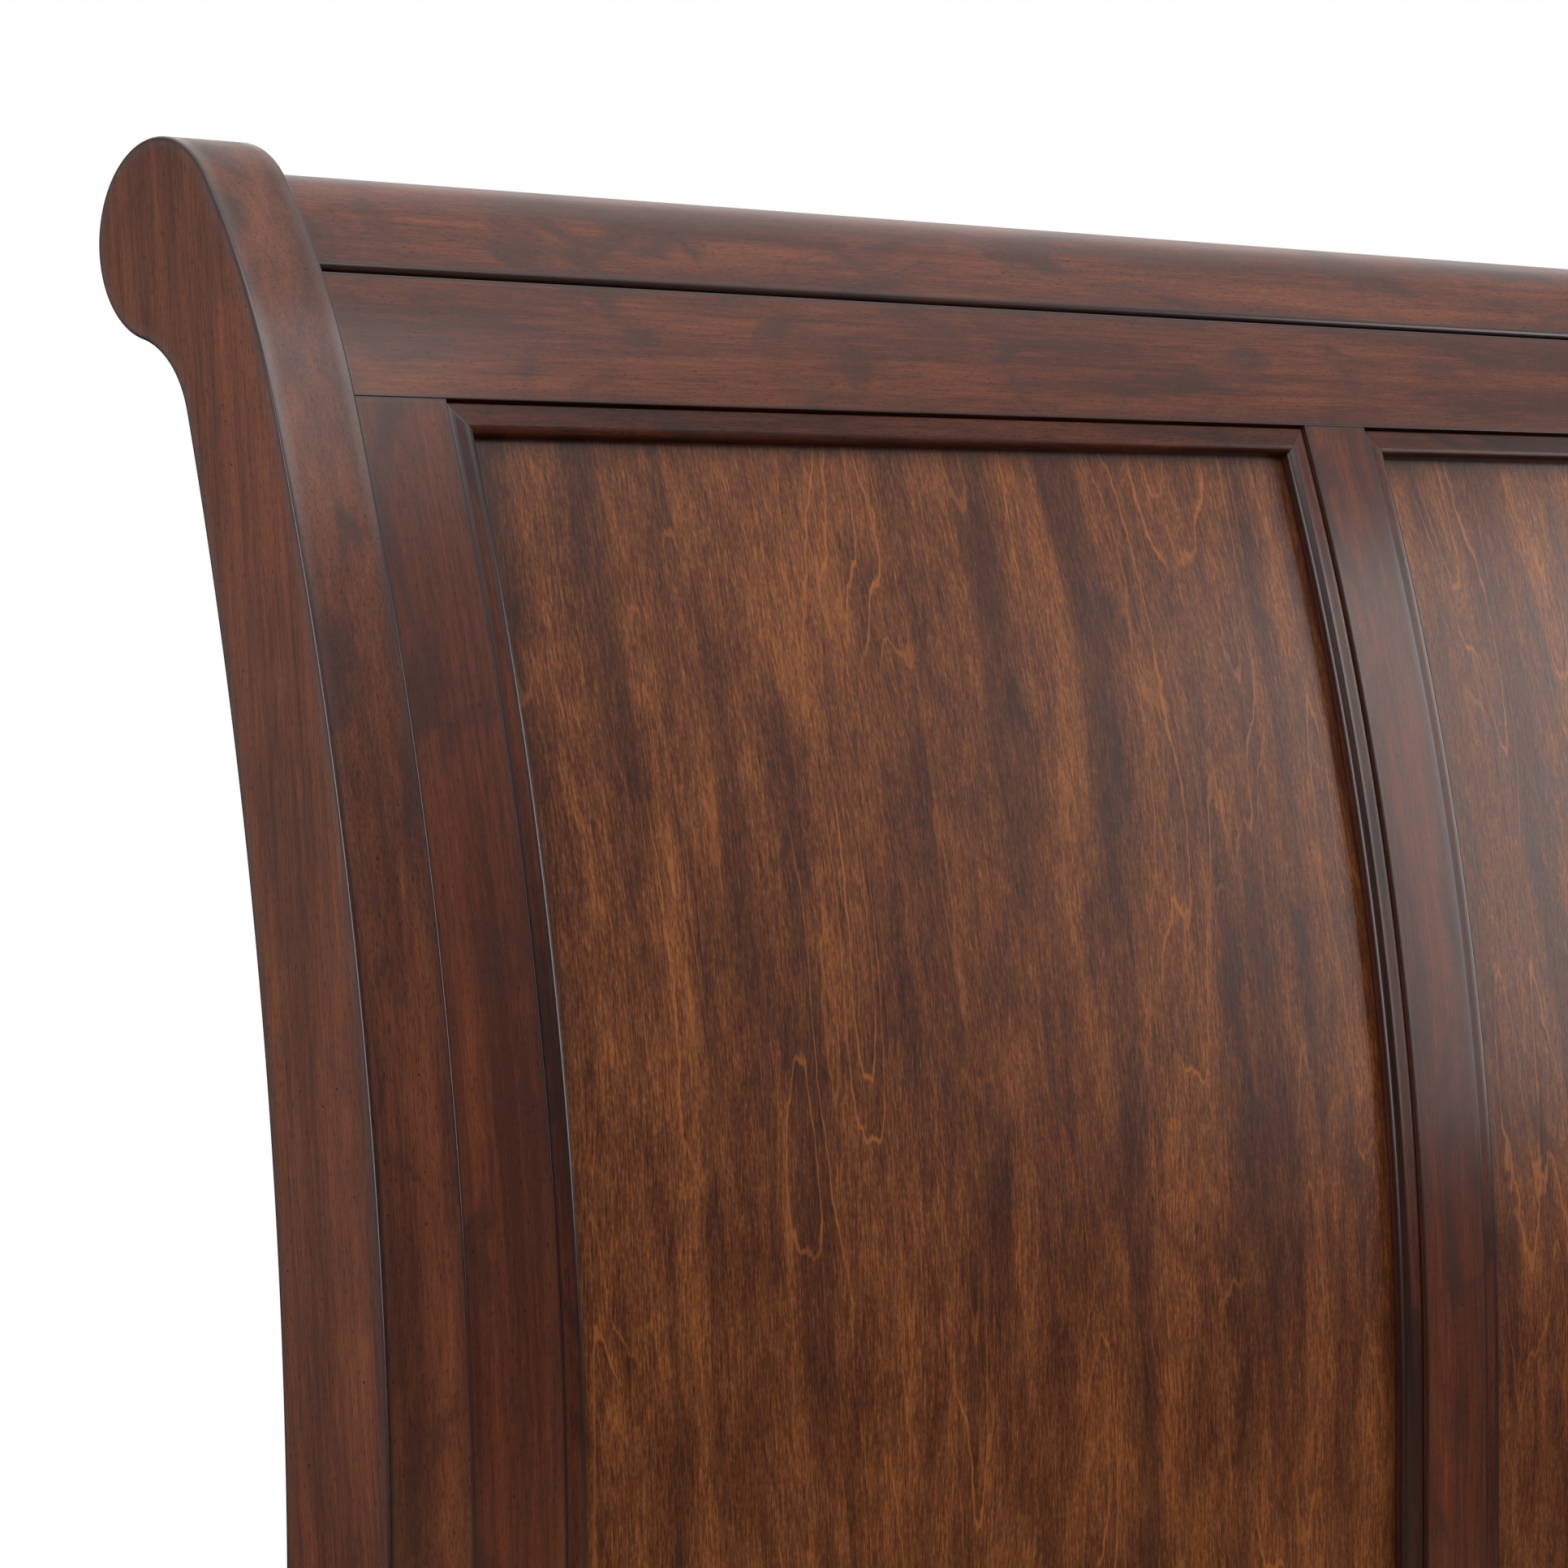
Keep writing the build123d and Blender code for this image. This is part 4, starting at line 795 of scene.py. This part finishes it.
        height = panel_sink - moulding_sink
        strips = []
        profile = eased([(0, strip_lift), (moulding_width, strip_lift),
                         (moulding_width, height), (0, height)],
                        [moulding_foot, moulding_foot, moulding_nose, moulding_back],
                        steps=NOSE_STEPS)
        low, high = lower_rail_top + moulding_gap, board.frieze_bottom - moulding_gap
        outer_left, outer_right = left + moulding_gap, right - moulding_gap
        rise = 1 if board.facing < 0 else -1
        for outer, inward in ((outer_left, 1), (outer_right, -1)):
            drawn = carried(profile, 0, high - low, strip_end, spacing=UPRIGHT_STEP)
            places, normals, arris, faces = mitred(drawn, outer, high - low, inward)
            places[:, 1] = board.below(panel_sink) + rise * places[:, 1]
            places[:, 2] += low
            normals[:, 1] *= rise
            strips.append(sawn(up_board(board, (places, normals, arris, faces)), drawn))
        for outer, inward in ((low, 1), (high, -1)):
            length = outer_right - outer_left
            drawn = carried(profile, 0, length, strip_end, spacing=LONG_STEP)
            places, normals, arris, faces = mitred(drawn, outer, length, inward)
            places = np.stack((places[:, 2] + outer_left,
                               board.below(panel_sink) + rise * places[:, 1],
                               places[:, 0]), axis=-1)
            normals = np.stack((normals[:, 2], rise * normals[:, 1], normals[:, 0]), axis=-1)
            strip = (places, normals, arris + less_rubbed, faces)
            strips.append(sawn(up_board(board, strip), drawn))
        make_piece(f"{name}_moulding_{hand}_stained", strips, moulding_wood,
                   f"{name}_moulding_{hand}")

# ---- side rails between the two ends
for side, hand in ((-1, "left"), (1, "right")):
    left = side * rail_middle_x - rail_thickness / 2
    right = side * rail_middle_x + rail_thickness / 2
    bar = eased([(left, rail_bottom), (right, rail_bottom), (right, rail_bottom + rail_height),
                 (left, rail_bottom + rail_height)], [side_rail_ease] * 4)
    drawn = carried(bar, foot.stands_at + shy, head.stands_at - shy, side_rail_end,
                    spacing=LONG_STEP)
    placed = (drawn[0][:, (0, 2, 1)], drawn[1][:, (0, 2, 1)], drawn[2], drawn[3])
    make_piece(f"side_rail_{hand}_stained", [sawn(placed, drawn)], frame_wood,
               f"side_rail_{hand}")

# ---- parts that keep their CAD shape
for node_name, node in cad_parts.items():
    if node.hide_render:
        continue
    if node_name.startswith("slat_") and node_name != "slat_screws":
        finish, slot_name = deck_x, "deck_wood"
    elif node_name.startswith(("ledger_left", "ledger_right", "centre_beam")):
        finish, slot_name = deck_y, "deck_wood"
    elif node_name.startswith("support_leg") or node_name.endswith("_dowels"):
        finish, slot_name = deck_z, "deck_wood"
    elif node_name == "post_glides" or node_name.startswith("levelling_foot"):
        finish, slot_name = nylon, "foot_nylon"
    else:
        finish, slot_name = zinc_steel, "plated_steel"
    node.data.materials.clear()
    node.data.materials.append(finish)

# ---- floor, light and camera, in metres and watts
floor_radius, floor_corners, floor_drop = 3.0, 96, 0.0005
disc = bpy.data.meshes.new("studio_floor")
rim = away(np.linspace(0, 2 * math.pi, floor_corners + 1)[:-1], floor_radius)
disc.from_pydata([(x, y, -floor_drop) for x, y in rim], [], [list(range(floor_corners))])
floor = bpy.data.objects.new("studio_floor", disc)
scene.collection.objects.link(floor)
paper, paper_tree, paper_shader = new_material("matt_studio_paper")
paper_cloud = add(paper_tree, "ShaderNodeTexNoise", {"Scale": 3.0}).outputs[0]
paper_tint = add(paper_tree, "ShaderNodeValToRGB", {0: paper_cloud},
                 [(0.3, "e6e5e3"), (0.7, "ebeae8")]).outputs[0]
paper_tree.links.new(paper_tint, paper_shader.inputs["Base Color"])
paper_shader.inputs["Roughness"].default_value = 0.9
disc.materials.append(paper)
floor.visible_diffuse = floor.visible_glossy = False     # throws no light up under the bed

# the camera sees plain white; the bed is lit by a dome that brightens towards its top
world = bpy.data.worlds.new("white_studio")
scene.world = world
world.use_nodes = True
sky = world.node_tree
sky.nodes.clear()
direction = add(sky, "ShaderNodeTexCoord").outputs["Generated"]
height_part = add(sky, "ShaderNodeSeparateXYZ", {0: direction}).outputs[2]
light = add(sky, "ShaderNodeMapRange", {0: height_part, FROM_LOW: 0.22, FROM_HIGH: 0.9,
                                        TO_LOW: 0.0, TO_HIGH: 1.56}).outputs[0]
# two pale backdrops behind the headboard, right and left, whose sheen shows on slanting faces
for towards, outer, inner, strength in (((0.8, 0.58, 0.16), 0.86, 0.95, 0.9),
                                        ((-0.73, 0.68, 0.05), 0.94, 0.985, 0.72)):
    aim = add(sky, "ShaderNodeVectorMath", {0: direction, 1: towards},
              operation="DOT_PRODUCT").outputs["Value"]
    backdrop = add(sky, "ShaderNodeMapRange", {0: aim, FROM_LOW: outer, FROM_HIGH: inner,
                                               TO_LOW: 0.0, TO_HIGH: strength}).outputs[0]
    light = add(sky, "ShaderNodeMath", {0: backdrop, 1: light}, operation="ADD").outputs[0]
soft = add(sky, "ShaderNodeBackground", {0: light, 1: 1.0}).outputs[0]
white = add(sky, "ShaderNodeBackground", {0: (1, 1, 1, 1), 1: 1.0}).outputs[0]
seen = add(sky, "ShaderNodeLightPath").outputs["Is Camera Ray"]
both = add(sky, "ShaderNodeMixShader", {0: seen, 1: soft, 2: white}).outputs[0]
add(sky, "ShaderNodeOutputWorld", {0: both})


def softbox(name, place, target, width, height, power):
    """A rectangular soft light at a place, turned to a target, that the camera doesn't see."""
    lamp = bpy.data.lights.new(name, "AREA")
    lamp.shape, lamp.size, lamp.size_y, lamp.energy = "RECTANGLE", width, height, power
    box = bpy.data.objects.new(name, lamp)
    scene.collection.objects.link(box)
    back = Vector(place) - Vector(target)
    box.location = place
    box.rotation_mode = "QUATERNION"
    box.rotation_quaternion = back.to_track_quat("Z", "Y")
    box.visible_camera = False


softbox("left_softbox", (-3.3, 0.6, 1.35), (-0.85, 1.05, 0.9), 1.5, 1.6, 33.5)
softbox("right_softbox", (2.7, -0.4, 1.5), (0.3, 1.0, 1.1), 1.2, 1.55, 22.5)
softbox("near_softbox", (-0.5, -0.15, 2.5), (-0.4, 1.0, 1.05), 2.4, 0.7, 13)

camera = bpy.data.objects.new("camera", bpy.data.cameras.new("camera"))
scene.collection.objects.link(camera)
camera.location = (-2.1724, -0.7264, 1.1956)
camera.rotation_euler = (math.pi / 2, 0, math.radians(-42.743))
camera.data.sensor_width, camera.data.lens, camera.data.shift_y = 36, 98.95, -0.146
scene.camera = camera
scene.view_settings.view_transform = "Standard"

bpy.context.view_layer.update()
